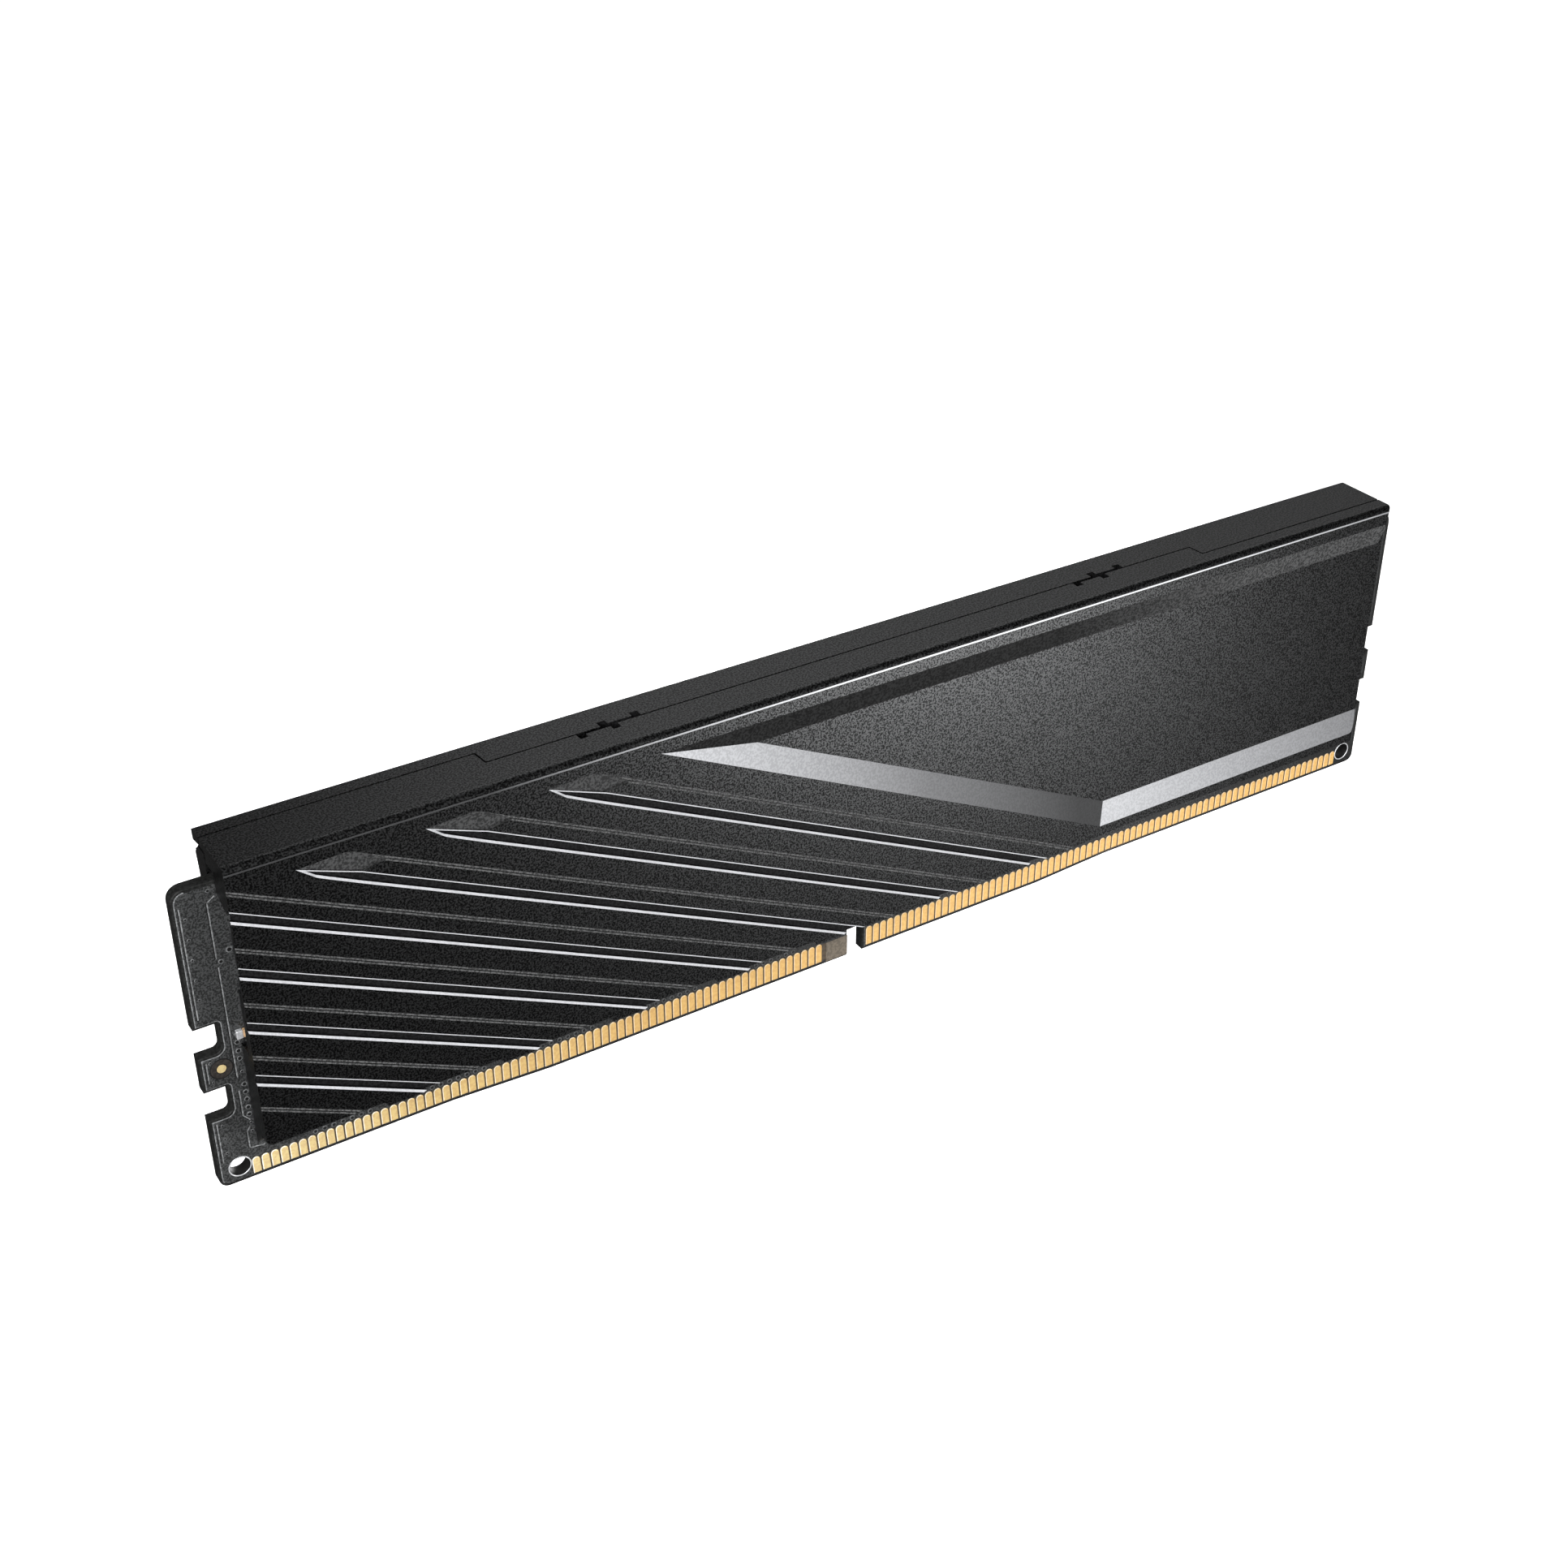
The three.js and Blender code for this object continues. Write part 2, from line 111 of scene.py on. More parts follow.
# Slanting grooves on the left of the face, and the fine double ribs between them.
SLOPE = -0.4935
GROOVE_PITCH = 5.46
GROOVE_WIDTH = 1.2
GROOVE_DEPTH = 0.5
GROOVE_LEFT_TOP = 30.05
UPPER_RIM = 0.13
UPPER_RIM_DEPTH = 0.05
LOWER_RIM = 0.18
GROOVE_END_X = 30.0
EDGE_GROOVES = 4
TIPS = [(-57.24, 31.97), (-46.04, 31.97), (-34.84, 31.97)]
TIP_KINK = (5.44, -2.08)
TIP_AFTER_KINK = 0.8
TIP_CURVE = [(0.97, -0.80), (1.6, -1.31), (2.6, -1.84)]
TIP_UPPER_SLOPE = -0.382
TIP_LOWER_SLOPE = -0.825
# The facet over each tip: outline from the tip, and its depth at the top and where it meets the groove.
FACET = [(0, 0), (5.44, -2.08), (6.67, -1.8), (7.88, -1.7), (4.99, 0.0), (4.17, 0.2)]
FACET_TOP_DEPTH = 0.004
FACET_DEPTH = 0.3
RIB_LEFT_TOP = 32.04
RIB_PITCH = 5.44
RIB_COUNT = 5
RIB_FROM_TIP = (5.2, -0.12)
RIB_LINE = 0.24
RIB_GAP = 0.29
RIB_DEPTH = 0.06
# The share of a line's width that each of its sloping sides takes.
RIB_SIDE = 0.4

# Sunken panel on the right of the face.
PANEL_DEPTH = 0.5
PANEL_TIP = (-24.2, 32.06)
PANEL_OUTER_TOP = 32.06
PANEL_OUTER_BOTTOM = 6.87
PANEL_OUTER_CORNER = 26.85
PANEL_INNER_TIP = (-14.0, 29.73)
PANEL_INNER_TOP = 29.73
PANEL_INNER_BOTTOM = 9.55
PANEL_INNER_CORNER = 27.4

# Contacts.
PITCH = 0.85
FINGER_WIDTH = 0.7
FINGER_TOP = 2.62
FINGER_ABOVE_EDGE = 0.42
FINGER_THICKNESS = 0.06
FINGER_RIM = 0.07
# The outline edge from which on a finger's rim has a painted highlight: its upper left and left sides.
FINGER_LIT_FROM = 4
# Each bank's first contact and how many it has.
BANKS = {"left": (-63.325, 69), "right": (0.425, 75)}

# Circuit board.
BOARD_LOWER_RADIUS = 0.9
BOARD_UPPER_RADIUS = 1.2
BOARD_BEVEL = 0.08
# The skin stops short of the board's edge, with a fine raised rim round it.
SKIN_MARGIN = 0.32
SKIN_RIM = 0.09
SKIN_HEIGHT = 0.03
# The contact edge is chamfered a little more, up to this height.
CONTACT_CHAMFER = 0.04
CHAMFER_UPTO = 0.6
# Below this height the board's rim belongs to the contact edge and gets no painted highlight.
DARK_RIM_UPTO = 1
KEY_NOTCH = (-2.15, -0.33)
KEY_NOTCH_TOP = 4.2
# Each side notch's bottom, top, lower radius and upper radius, from the top one down.
SIDE_NOTCHES = [(14.6, 17.6, 0.6, 0.2), (8.0, 11.0, 0.6, 0.2)]
SIDE_NOTCH_DEPTH = 2.1
HOLE = (64.75, 2.2)
HOLE_BORE = 0.92
HOLE_RADIUS = 1.05
HOLE_CUT = 2
# The plated hole's flange: how far out from the bore, and how far from the board's middle plane.
HOLE_FLANGE = [(0, 0.64), (0.03, 0.68), (0.1, 0.68), (0.13, 0.64), (0.08, 0.56)]
HOLE_STEPS = 48

# Thin raised shapes on the board. Each is rooted a little way into it and has a sloping rim.
RELIEF_ROOT = 0.01
RELIEF_RIM = 0.03
FINE_RIM = 0.01
FIDUCIAL = (-64.89, 12.98)
# The fiducial's discs from the outside in: radius, height, rim and which of its materials.
FIDUCIAL_DISCS = [(1.05, 0.008, 0.02, 2), (0.95, 0.012, 0.02, 0), (0.5, 0.016, 0.01, 2),
                  (0.43, 0.035, RELIEF_RIM, 1)]
FIDUCIAL_STEPS = 32
# The solder mask is open round each bank of contacts and in a patch left of the key notch.
FINGER_WINDOWS = [(-63.75, -4.64), (0.0, 63.75)]
WINDOW_LIFT = 0.5
WINDOW_TOP = 2.5
WINDOW_HEIGHT = 0.008
BARE_PATCH = (-4.64, -2.15)
PATCH_BOTTOM = 0.2
PATCH_HEIGHT = 0.02
# Each via's place and radius.
VIAS = [
    (-65.7, 28.45, 0.16), (-65.7, 26.45, 0.16), (-65.7, 24.45, 0.16), (-65.7, 22.45, 0.16),
    (-65.7, 20.45, 0.16), (-63.57, 30.48, 0.2), (-63.46, 23.5, 0.24), (-62.63, 24.39, 0.3),
    (-65.65, 7.1, 0.15), (-65.63, 5.61, 0.15), (-65.65, 4.08, 0.15), (-65.75, 13.9, 0.15),
    (-65.75, 11.85, 0.15), (-63.23, 10.64, 0.26), (-63.23, 9.78, 0.26), (-63.23, 9.01, 0.26),
    (-63.23, 8.13, 0.26), (-63.23, 7.35, 0.26), (-63.2, 6.4, 0.17), (-63.2, 5.5, 0.17),
    (-63.25, 15.9, 0.17), (-63.25, 15.1, 0.26), (-63.25, 14.2, 0.26), (-63.25, 13.4, 0.26),
    (-63.25, 12.0, 0.17),
]
# Each via's bore is a raised near-black disc: painted shade where the hole is.
VIA_BORE = 0.64
VIA_HEIGHT = 0.02
VIA_BORE_HEIGHT = 0.025
# Groups of vias above the contacts. Their start and period count contact pitches from the first one.
VIA_GROUPS = 5
VIA_GROUP_SIZE = 7
VIA_GROUP_START = 6.5
VIA_GROUP_PERIOD = 13
VIA_ROW_Z = 2.9
VIA_ROW_RADIUS = 0.25
# Each trace is a raised line in a painted highlight, with a narrower painted shadow line beside it.
TRACE_WIDTH = 0.13
TRACE_HEIGHT = 0.03
TRACE_SHADOW_SHARE = 0.7
TRACE_SHADOW_HEIGHT = 0.02
TRACES = [
    [(-66.08, 29.55), (-66.08, 18.6)],
    [(-66.08, 13.9), (-66.08, 11.9)],
    [(-66.08, 7.4), (-66.08, 3.22)],
    [(-63.15, 29.83), (-63.78, 29.38), (-63.76, 23.9)],
    [(-63.72, 22.93), (-63.7, 11.6)],
    [(-63.76, 10.09), (-63.75, 7.39), (-63.26, 6.77)],
    [(-63.39, 6.02), (-63.65, 5.57), (-63.63, 3.78), (-62.38, 3.6)],
]

# Small parts on the board. A cap stands proud of the ceramic body by CAP_STEP.
CAP_MAX = 0.6
CAP_SHARE = 0.35
CAP_STEP = 0.03
CAP_BEVEL = 0.05
NODE_BEVEL = 0.08

# ---------------------------------------------------------------- mesh helpers


def make_piece(name, points, faces, slots=None, materials=(), smooth=False, scale=MM):
    """A mesh object from points in millimetres. slots gives each face its material."""
    mesh = bpy.data.meshes.new(name)
    mesh.from_pydata([Vector(p) * scale for p in points], [], faces)
    for material in materials:
        mesh.materials.append(material)
    for i, polygon in enumerate(mesh.polygons):
        polygon.use_smooth = smooth
        if slots:
            polygon.material_index = slots[i]
    mesh.update()
    piece = bpy.data.objects.new(name, mesh)
    bpy.context.scene.collection.objects.link(piece)
    return piece


def layered(outlines, depths, slot_of=None, cap_slots=(0, 0)):
    """Points, faces and slots of a solid through outlines in X and Z, one at each Y."""
    if signed_area(outlines[0]) < 0:
        outlines = [list(reversed(o)) for o in outlines]
        count = len(outlines[0])
        given = slot_of
        slot_of = given and (lambda layer, edge: given(layer, (count - 2 - edge) % count))
    count = len(outlines[0])
    points = [(x, y, z) for outline, y in zip(outlines, depths) for x, z in outline]
    faces = [tuple(range(count))]
    slots = [cap_slots[0]]
    for layer in range(len(outlines) - 1):
        for i in range(count):
            j = (i + 1) % count
            low = layer * count
            high = low + count
            faces.append((low + j, low + i, high + i, high + j))
            slots.append(slot_of(layer, i) if slot_of else cap_slots[1])
    faces.append(tuple(reversed(range((len(outlines) - 1) * count, len(points)))))
    slots.append(cap_slots[1])
    return points, faces, slots


def signed_area(outline):
    """Above zero where the outline runs anticlockwise."""
    total = 0
    for (ax, az), (bx, bz) in zip(outline, outline[1:] + outline[:1]):
        total += ax * bz - bx * az
    return total / 2


def plate(outline, y_front, y_back):
    return layered([outline, outline], [y_front, y_back])


def bar(section, x_start, x_end, slot_of=None):
    """A section in Y and Z, drawn out along X."""
    points, faces, slots = layered([section, section], [x_start, x_end], slot_of)
    return [(y, x, z) for x, y, z in points], [tuple(reversed(f)) for f in faces], slots


def slab(outline, z_bottom, z_top):
    """An outline in X and Y, standing from z_bottom up to z_top."""
    points, faces, slots = layered([outline, outline], [z_bottom, z_top])
    return [(x, z, y) for x, y, z in points], [tuple(reversed(f)) for f in faces], slots


def block(x_min, x_max, y_min, y_max, z_min, z_max):
    return slab([(x_min, y_min), (x_max, y_min), (x_max, y_max), (x_min, y_max)], z_min, z_max)


def arc(centre_a, centre_b, radius, start, end, steps):
    """Points on an arc from one angle to another, in degrees, both included."""
    points = []
    for i in range(steps + 1):
        angle = math.radians(start + (end - start) * i / steps)
        points.append((centre_a + radius * math.cos(angle), centre_b + radius * math.sin(angle)))
    return points


def disc(x, z, radius, steps=20):
    return [(x + a, z + b) for a, b in arc(0, 0, radius, 0, 360, steps)[:-1]]


def inset(outline, distance):
    """The outline, moved inwards."""
    moved = []
    for i, here in enumerate(outline):
        before = Vector(outline[i - 1])
        after = Vector(outline[(i + 1) % len(outline)])
        here = Vector(here)
        one = (here - before).normalized()
        two = (after - here).normalized()
        inward = Vector((-one.y, one.x)) + Vector((-two.y, two.x))
        inward /= max(0.5, inward.length_squared / 2)
        moved.append(tuple(here + inward * distance))
    return moved


def combine(piece, solid, operation, slot=None):
    """Cuts, joins or trims a piece with a solid.

    The faces that the solid leaves keep its own material slots, unless slot names one for them all.
    """
    points, faces, slots = solid
    if slot is not None:
        slots = [slot] * len(faces)
    tool = make_piece("tool", points, faces, slots, piece.data.materials, scale=1)
    modifier = piece.modifiers.new("combine", "BOOLEAN")
    modifier.operation = operation
    modifier.solver = "EXACT"
    modifier.object = tool
    graph = bpy.context.evaluated_depsgraph_get()
    result = bpy.data.meshes.new_from_object(piece.evaluated_get(graph))
    piece.modifiers.clear()
    old = piece.data
    piece.data = result
    bpy.data.meshes.remove(old)
    bpy.data.objects.remove(tool)


# ---------------------------------------------------------------- materials

GRAIN_DETAIL = 2
# Where the grain's noise turns from its dark tone to its light one.
GRAIN_TURN = (0.43, 0.57)
ROUGHNESS_SPREAD = 0.08
LEAST_ROUGHNESS = 0.05
GRAIN_STRENGTH = 0.6


def grained(name, colour, roughness, metallic=0.0, grain=0.22, contrast=0.35, bump=0.02,
            gloss=0.5, fade=None):
    """A finish with fine grain in its colour, its roughness and its surface. grain is in millimetres.

    fade is a list of places along X, in millimetres, each with how much of the colour, or of its
    red, green and blue, is left there.
    """
    material = bpy.data.materials.new(name)
    material.use_nodes = True
    nodes = material.node_tree.nodes
    links = material.node_tree.links
    shader = nodes["Principled BSDF"]
    shader.inputs["Metallic"].default_value = metallic
    shader.inputs["Specular IOR Level"].default_value = gloss
    place = nodes.new("ShaderNodeTexCoord")
    noise = nodes.new("ShaderNodeTexNoise")
    noise.inputs["Scale"].default_value = 1 / (grain * MM)
    noise.inputs["Detail"].default_value = GRAIN_DETAIL
    links.new(place.outputs["Object"], noise.inputs["Vector"])
    tones = nodes.new("ShaderNodeValToRGB")
    dark, light = tones.color_ramp.elements
    dark.position, light.position = GRAIN_TURN
    dark.color = (*[c * (1 - contrast) for c in colour], 1)
    light.color = (*[min(1, c * (1 + contrast)) for c in colour], 1)
    links.new(noise.outputs["Fac"], tones.inputs["Fac"])
    colour_out = tones.outputs["Color"]
    if fade:
        colour_out = faded(material, place, colour_out, fade)
    links.new(colour_out, shader.inputs["Base Color"])
    spread = nodes.new("ShaderNodeMapRange")
    spread.inputs["To Min"].default_value = max(LEAST_ROUGHNESS, roughness - ROUGHNESS_SPREAD)
    spread.inputs["To Max"].default_value = min(1, roughness + ROUGHNESS_SPREAD)
    links.new(noise.outputs["Fac"], spread.inputs["Value"])
    links.new(spread.outputs["Result"], shader.inputs["Roughness"])
    relief = nodes.new("ShaderNodeBump")
    relief.inputs["Strength"].default_value = GRAIN_STRENGTH
    relief.inputs["Distance"].default_value = bump * MM
    links.new(noise.outputs["Fac"], relief.inputs["Height"])
    links.new(relief.outputs["Normal"], shader.inputs["Normal"])
    return material


def faded(material, place, colour_out, fade):
    """The colour, multiplied by levels set at places along X, the same way round on both faces. Every fade
    here paints light and shade along the module.
    """
    nodes = material.node_tree.nodes
    links = material.node_tree.links
    first = fade[0][0]
    last = fade[-1][0]
    axes = nodes.new("ShaderNodeSeparateXYZ")
    links.new(place.outputs["Object"], axes.inputs["Vector"])
    # Times the sign of Y, X falls from left to right as each face is looked at.
    facing = nodes.new("ShaderNodeMath")
    facing.operation = "SIGN"
    links.new(axes.outputs["Y"], facing.inputs[0])
    along = nodes.new("ShaderNodeMath")
    along.operation = "MULTIPLY"
    links.new(axes.outputs["X"], along.inputs[0])
    links.new(facing.outputs["Value"], along.inputs[1])
    run = nodes.new("ShaderNodeMapRange")
    run.inputs["From Min"].default_value = -first * MM
    run.inputs["From Max"].default_value = -last * MM
    links.new(along.outputs["Value"], run.inputs["Value"])
    levels = nodes.new("ShaderNodeValToRGB")
    ramp = levels.color_ramp.elements
    while len(ramp) < len(fade):
        ramp.new(1.0)
    for element, (x, level) in zip(ramp, fade):
        element.position = (x - first) / (last - first)
        element.color = (*(level if isinstance(level, tuple) else (level,) * 3), 1)
    links.new(run.outputs["Result"], levels.inputs["Fac"])
    product = nodes.new("ShaderNodeMix")
    product.data_type = "RGBA"
    product.blend_type = "MULTIPLY"
    product.inputs["Factor"].default_value = 1
    links.new(colour_out, product.inputs["A"])
    links.new(levels.outputs["Color"], product.inputs["B"])
    return product.outputs["Result"]


# Silver for the painted highlights on the shell's groove rims, crease and panel borders.
SILVER_HIGHLIGHT = (0.82, 0.83, 0.86)

# The shell's material slots, in the order of shell_finishes. Only the first is the anodising itself; the
# others are copies of it that paint light and shade.
ANODISED, RIM_HIGHLIGHT, GROOVE_SHADE, DIAGONAL_HIGHLIGHT, STRIPE_HIGHLIGHT, RIB_SHADING, FACET_SHADING, CREASE_HIGHLIGHT, SLOPE_SHADING = range(9)
shell_finishes = [
    grained("anodised_black", (0.032, 0.0325, 0.033), 0.37, metallic=0.9, grain=0.17, contrast=0.8),
    # The groove rims' silver is a painted highlight, standing for the light their chamfers catch.
    grained("rim", SILVER_HIGHLIGHT, 0.35, metallic=0.2, contrast=0.06, bump=0.004),
    # Near black and without sheen: painted shade in the grooves, the lock slots, the thinned left edge and
    # the rounded right end.
    grained("groove_shade", (0.009, 0.009, 0.0095), 0.6, contrast=0.5, gloss=0.08),
    # The panel's diagonal border and bottom stripe: silver painted highlights, fading along X as the light
    # on them falls off.
    grained("diagonal_border", SILVER_HIGHLIGHT, 0.5, contrast=0.12, bump=0.01, gloss=0.2,
            fade=[(-24, 0.62), (-10, 0.42), (5, 0.175), (24, 0.035)]),
    grained("bottom_border", SILVER_HIGHLIGHT, 0.5, contrast=0.1, bump=0.01, gloss=0.2,
            fade=[(27, 0.57), (45, 0.37), (63, 0.215)]),
    # The ribs and the tip facets have flat matte tones unlike the anodising: painted light and shade
    # standing for how their slopes are lit.
    grained("fine_rib", (0.09, 0.0905, 0.091), 0.7, contrast=0.5, gloss=0.1),
    grained("tip_facet", (0.046, 0.0465, 0.047), 0.6, contrast=0.5, gloss=0.2),
    # The crease line: a silver painted highlight, faint at the left end and brightest in the middle.
    grained("crease", SILVER_HIGHLIGHT, 0.4, metallic=0.2, contrast=0.06, bump=0.004,
            fade=[(-63, 0.05), (-40, 0.06), (-20, 0.5), (0, 1.0), (35, 1.0), (63, 0.4)]),
    # The panel's upper slope, darker at the left and lighter towards the right end: painted light.
    grained("panel_slope", (0.06, 0.0605, 0.061), 0.6, contrast=0.5, gloss=0.1,
            fade=[(-24, 0.25), (20, 0.25), (44, 1.0), (63, 1.0)]),
]

# The board's material slots, in the order of board_finishes.
BOARD_SKIN, BOARD_SIDE, BOARD_RIM_HIGHLIGHT = range(3)
# The board's solder mask, rim, via rings and traces grow darker towards the right end: painted shade.
BOARD_PAINTED_SHADE = [(-63, 1.0), (-45, 0.8), (0, 0.45), (63, 0.22)]
board_finishes = [
    grained("solder_mask", (0.045, 0.0463, 0.0468), 0.4, grain=0.15, contrast=0.6, bump=0.03,
            fade=BOARD_PAINTED_SHADE),
    grained("board_side", (0.016, 0.0165, 0.016), 0.6, grain=0.25, contrast=0.4, gloss=0.2),
    # The board's edge rim: a light painted highlight, used only at the left end of each face.
    grained("board_rim_highlight", (0.2, 0.205, 0.21), 0.4, grain=0.3, contrast=0.3, fade=BOARD_PAINTED_SHADE),
]

fiducial_ring = grained("fiducial_ring", (0.035, 0.03, 0.027), 0.6, grain=0.3, contrast=0.3)
laminate_dark = grained("laminate_dark", (0.07, 0.05, 0.03), 0.6, grain=0.3, contrast=0.2)
via_ring = grained("via_ring", (0.15, 0.154, 0.157), 0.4, grain=0.3, contrast=0.3,
                   fade=BOARD_PAINTED_SHADE)
laminate = grained("bare_laminate", (0.14, 0.115, 0.085), 0.6, grain=0.3, contrast=0.2)
# The gold is palest at the left end and browner towards the right: painted light.
gold = grained("gold_plate", (1.0, 0.75, 0.37), 0.5, metallic=0.3, grain=0.35, contrast=0.08, bump=0.006,
               fade=[(-63, 1.0), (-48, (0.88, 0.8, 0.68)), (-25, (0.8, 0.64, 0.46)),
                     (63, (0.8, 0.62, 0.42))])
# The pale rim on the contacts' upper left sides: a painted highlight, fading along X.
gold_rim_highlight = grained("gold_rim_highlight", (1.0, 0.96, 0.88), 0.4, grain=0.35, contrast=0.04, bump=0.004,
                    fade=[(-63, 1.0), (-45, (0.95, 0.85, 0.7)), (-25, (0.85, 0.68, 0.48)),
                          (63, (0.8, 0.62, 0.42))])
silver = grained("tinned", (0.75, 0.76, 0.78), 0.35, metallic=0.4, grain=0.3, contrast=0.1, bump=0.01)
ceramic = grained("fired_ceramic", (0.55, 0.36, 0.2), 0.5, grain=0.2, contrast=0.12, bump=0.006)
moulding = grained("chip_epoxy", (0.012, 0.012, 0.013), 0.6, grain=0.15, contrast=0.3)
ferrite = grained("pressed_ferrite", (0.05, 0.05, 0.055), 0.7, grain=0.2, contrast=0.3)
pad = grained("silicone_pad", (0.3, 0.34, 0.38), 0.85, grain=0.4, contrast=0.12)
# Near black: painted shade in the via bores and the plated hole's bore, the painted shadow beside each
# trace, and the fiducial's own dark rings.
black_and_painted_shade = grained("black_and_painted_shade", (0.004, 0.004, 0.004), 0.6, grain=0.2, contrast=0.3)
# The traces' light colour is a painted highlight.
trace_highlight = grained("trace_highlight", (0.24, 0.245, 0.25), 0.35, grain=0.3, contrast=0.3,
                     fade=BOARD_PAINTED_SHADE)

# ---------------------------------------------------------------- heat spreader


def shell_section():
    """The shell's face and roof in Y and Z, before it is trimmed to its outlines."""
    inner = FACE - WALL
    roof_reach = SEAM_OUTER + PAST
    crease_z = SHELL_TOP - BEND
    return [
        (-FACE, SHELL_BOTTOM - PAST),
        (-inner, SHELL_BOTTOM - PAST),
        (-inner, SHELL_TOP - ROOF - INNER_CORNER),
        (-inner + INNER_CORNER, SHELL_TOP - ROOF),
        (roof_reach, SHELL_TOP - ROOF),
        (roof_reach, SHELL_TOP),
        *arc(-FACE + BEND, crease_z, BEND, 90, BEND_END_ANGLE, steps=8),
        (-FACE + CREASE_SET_BACK, crease_z),
        (-FACE, crease_z - CREASE),
    ]


def section_slot(layer, edge):
    """The section's last edge but one is the crease, which gets a painted highlight."""
    return CREASE_HIGHLIGHT if edge == len(shell_section()) - 2 else ANODISED


def via_group_start(group):
    """Where a group's first via is, along X."""
    return BANKS["left"][0] + (VIA_GROUP_START + group * VIA_GROUP_PERIOD) * PITCH


def face_outline():
    """The face's lower edge steps up at both ends and over each row of vias."""
    raised = SHELL_BOTTOM + EDGE_LIFT
    steps = []
    for group in range(VIA_GROUPS):
        start = via_group_start(group) - EDGE_STEP
        end = via_group_start(group) + (VIA_GROUP_SIZE - 1) * PITCH + EDGE_STEP
        # The first group's raised stretch runs on from the left end's.
        if group > 0:
            steps += [(start - EDGE_STEP, SHELL_BOTTOM), (start, raised)]
        steps += [(end, raised), (end + EDGE_STEP, SHELL_BOTTOM)]
    return [
        (-SHELL_END, raised + CORNER_CUT),
        (-SHELL_END + CORNER_CUT, raised),
        *steps,
        (EDGE_RAMP_RIGHT[0], SHELL_BOTTOM),
        (EDGE_RAMP_RIGHT[1], raised),
        (SHELL_END - CORNER_CUT, raised),
        (SHELL_END, raised + CORNER_CUT),
        (SHELL_END, SHELL_TOP + PAST),
        (-SHELL_END, SHELL_TOP + PAST),
    ]


def roof_outline():
    """The roof in X and Y, with its stepped seam."""
    half = SEAM_GAP / 2
    return [
        (-SHELL_END, -FACE - PAST),
        (SHELL_END, -FACE - PAST),
        (SHELL_END, -SEAM_OUTER - half),
        (SEAM_STEP + SEAM_LEAN, -SEAM_OUTER - half),
        (SEAM_STEP - SEAM_LEAN, -half),
        (-SEAM_STEP + SEAM_LEAN - SEAM_GAP, -half),
        (-SEAM_STEP - SEAM_LEAN - SEAM_GAP, SEAM_OUTER - half),
        (-SHELL_END, SEAM_OUTER - half),
    ]


def lock_cuts():
    """Relief slots in the roof's middle edge, where the two shells hook together."""
    cuts = []
    low = SHELL_TOP - 2 * PAST
    high = SHELL_TOP + PAST
    for middle in (-LOCK_X, LOCK_X):
        for hook in (middle - LOCK_PITCH, middle):
            cuts.append(block(hook, hook + LOCK_WIDTH, -LOCK_DEPTH, PAST, low, high))
        cuts.append(block(middle - LOCK_PITCH, middle, -LOCK_SLOT, PAST, low, high))
    return cuts


def groove(upper, lower, tip=None):
    """A groove between its upper and lower lines, with a fine rim along each in a silver painted
    highlight.

    A groove with a tip starts there in a point, where its first two lines meet.
    """
    tip_points = 1 if tip else 0
    on_upper = range(0, len(upper) - 1 + tip_points)
    on_lower = range(len(upper) + tip_points, len(upper) + len(lower) - 1 + 2 * tip_points)

    def outline(depth):
        down = UPPER_RIM * min(depth / UPPER_RIM_DEPTH, 1)
        up = min(depth, LOWER_RIM)
        top = [(x, z - down) for x, z in upper]
        bottom = [(x, z + up) for x, z in reversed(lower)]
        if not tip:
            return top + bottom
        run = (down + up) / (TIP_UPPER_SLOPE - TIP_LOWER_SLOPE)
        point = (tip[0] + run, tip[1] - down + TIP_UPPER_SLOPE * run)
        return [point] + top + bottom

    # The rims get the painted highlight; the rest of the groove gets painted shade.
    def slot_of(layer, edge):
        bright = (edge in on_upper and layer == 0) or (edge in on_lower and layer < 2)
        return RIM_HIGHLIGHT if bright else GROOVE_SHADE

    depths = [-SKIM, UPPER_RIM_DEPTH, LOWER_RIM, GROOVE_DEPTH]
    outlines = [outline(d) for d in depths]
    return layered(outlines, [-FACE + d for d in depths], slot_of, (GROOVE_SHADE, GROOVE_SHADE))


def line_from(x, z, to_x):
    """A line along the grooves' slope."""
    return [(x, z), (to_x, z + SLOPE * (to_x - x))]


def edge_groove(index):
    x = -SHELL_END - PAST
    z = GROOVE_LEFT_TOP - index * GROOVE_PITCH - SLOPE * PAST
    upper = line_from(x, z, GROOVE_END_X)
    return groove(upper, [(a, b - GROOVE_WIDTH) for a, b in upper])


def tipped_groove(tip):
    kink = (tip[0] + TIP_KINK[0], tip[1] + TIP_KINK[1])
    end = line_from(*kink, GROOVE_END_X + tip[0] + SHELL_END)[1]
    upper = [kink, (kink[0] + TIP_AFTER_KINK, kink[1] + TIP_AFTER_KINK * SLOPE), end]
    lower = [(tip[0] + x, tip[1] + z) for x, z in TIP_CURVE]
    lower += [(kink[0], kink[1] - GROOVE_WIDTH), (end[0], end[1] - GROOVE_WIDTH)]
    return groove(upper, lower, tip)


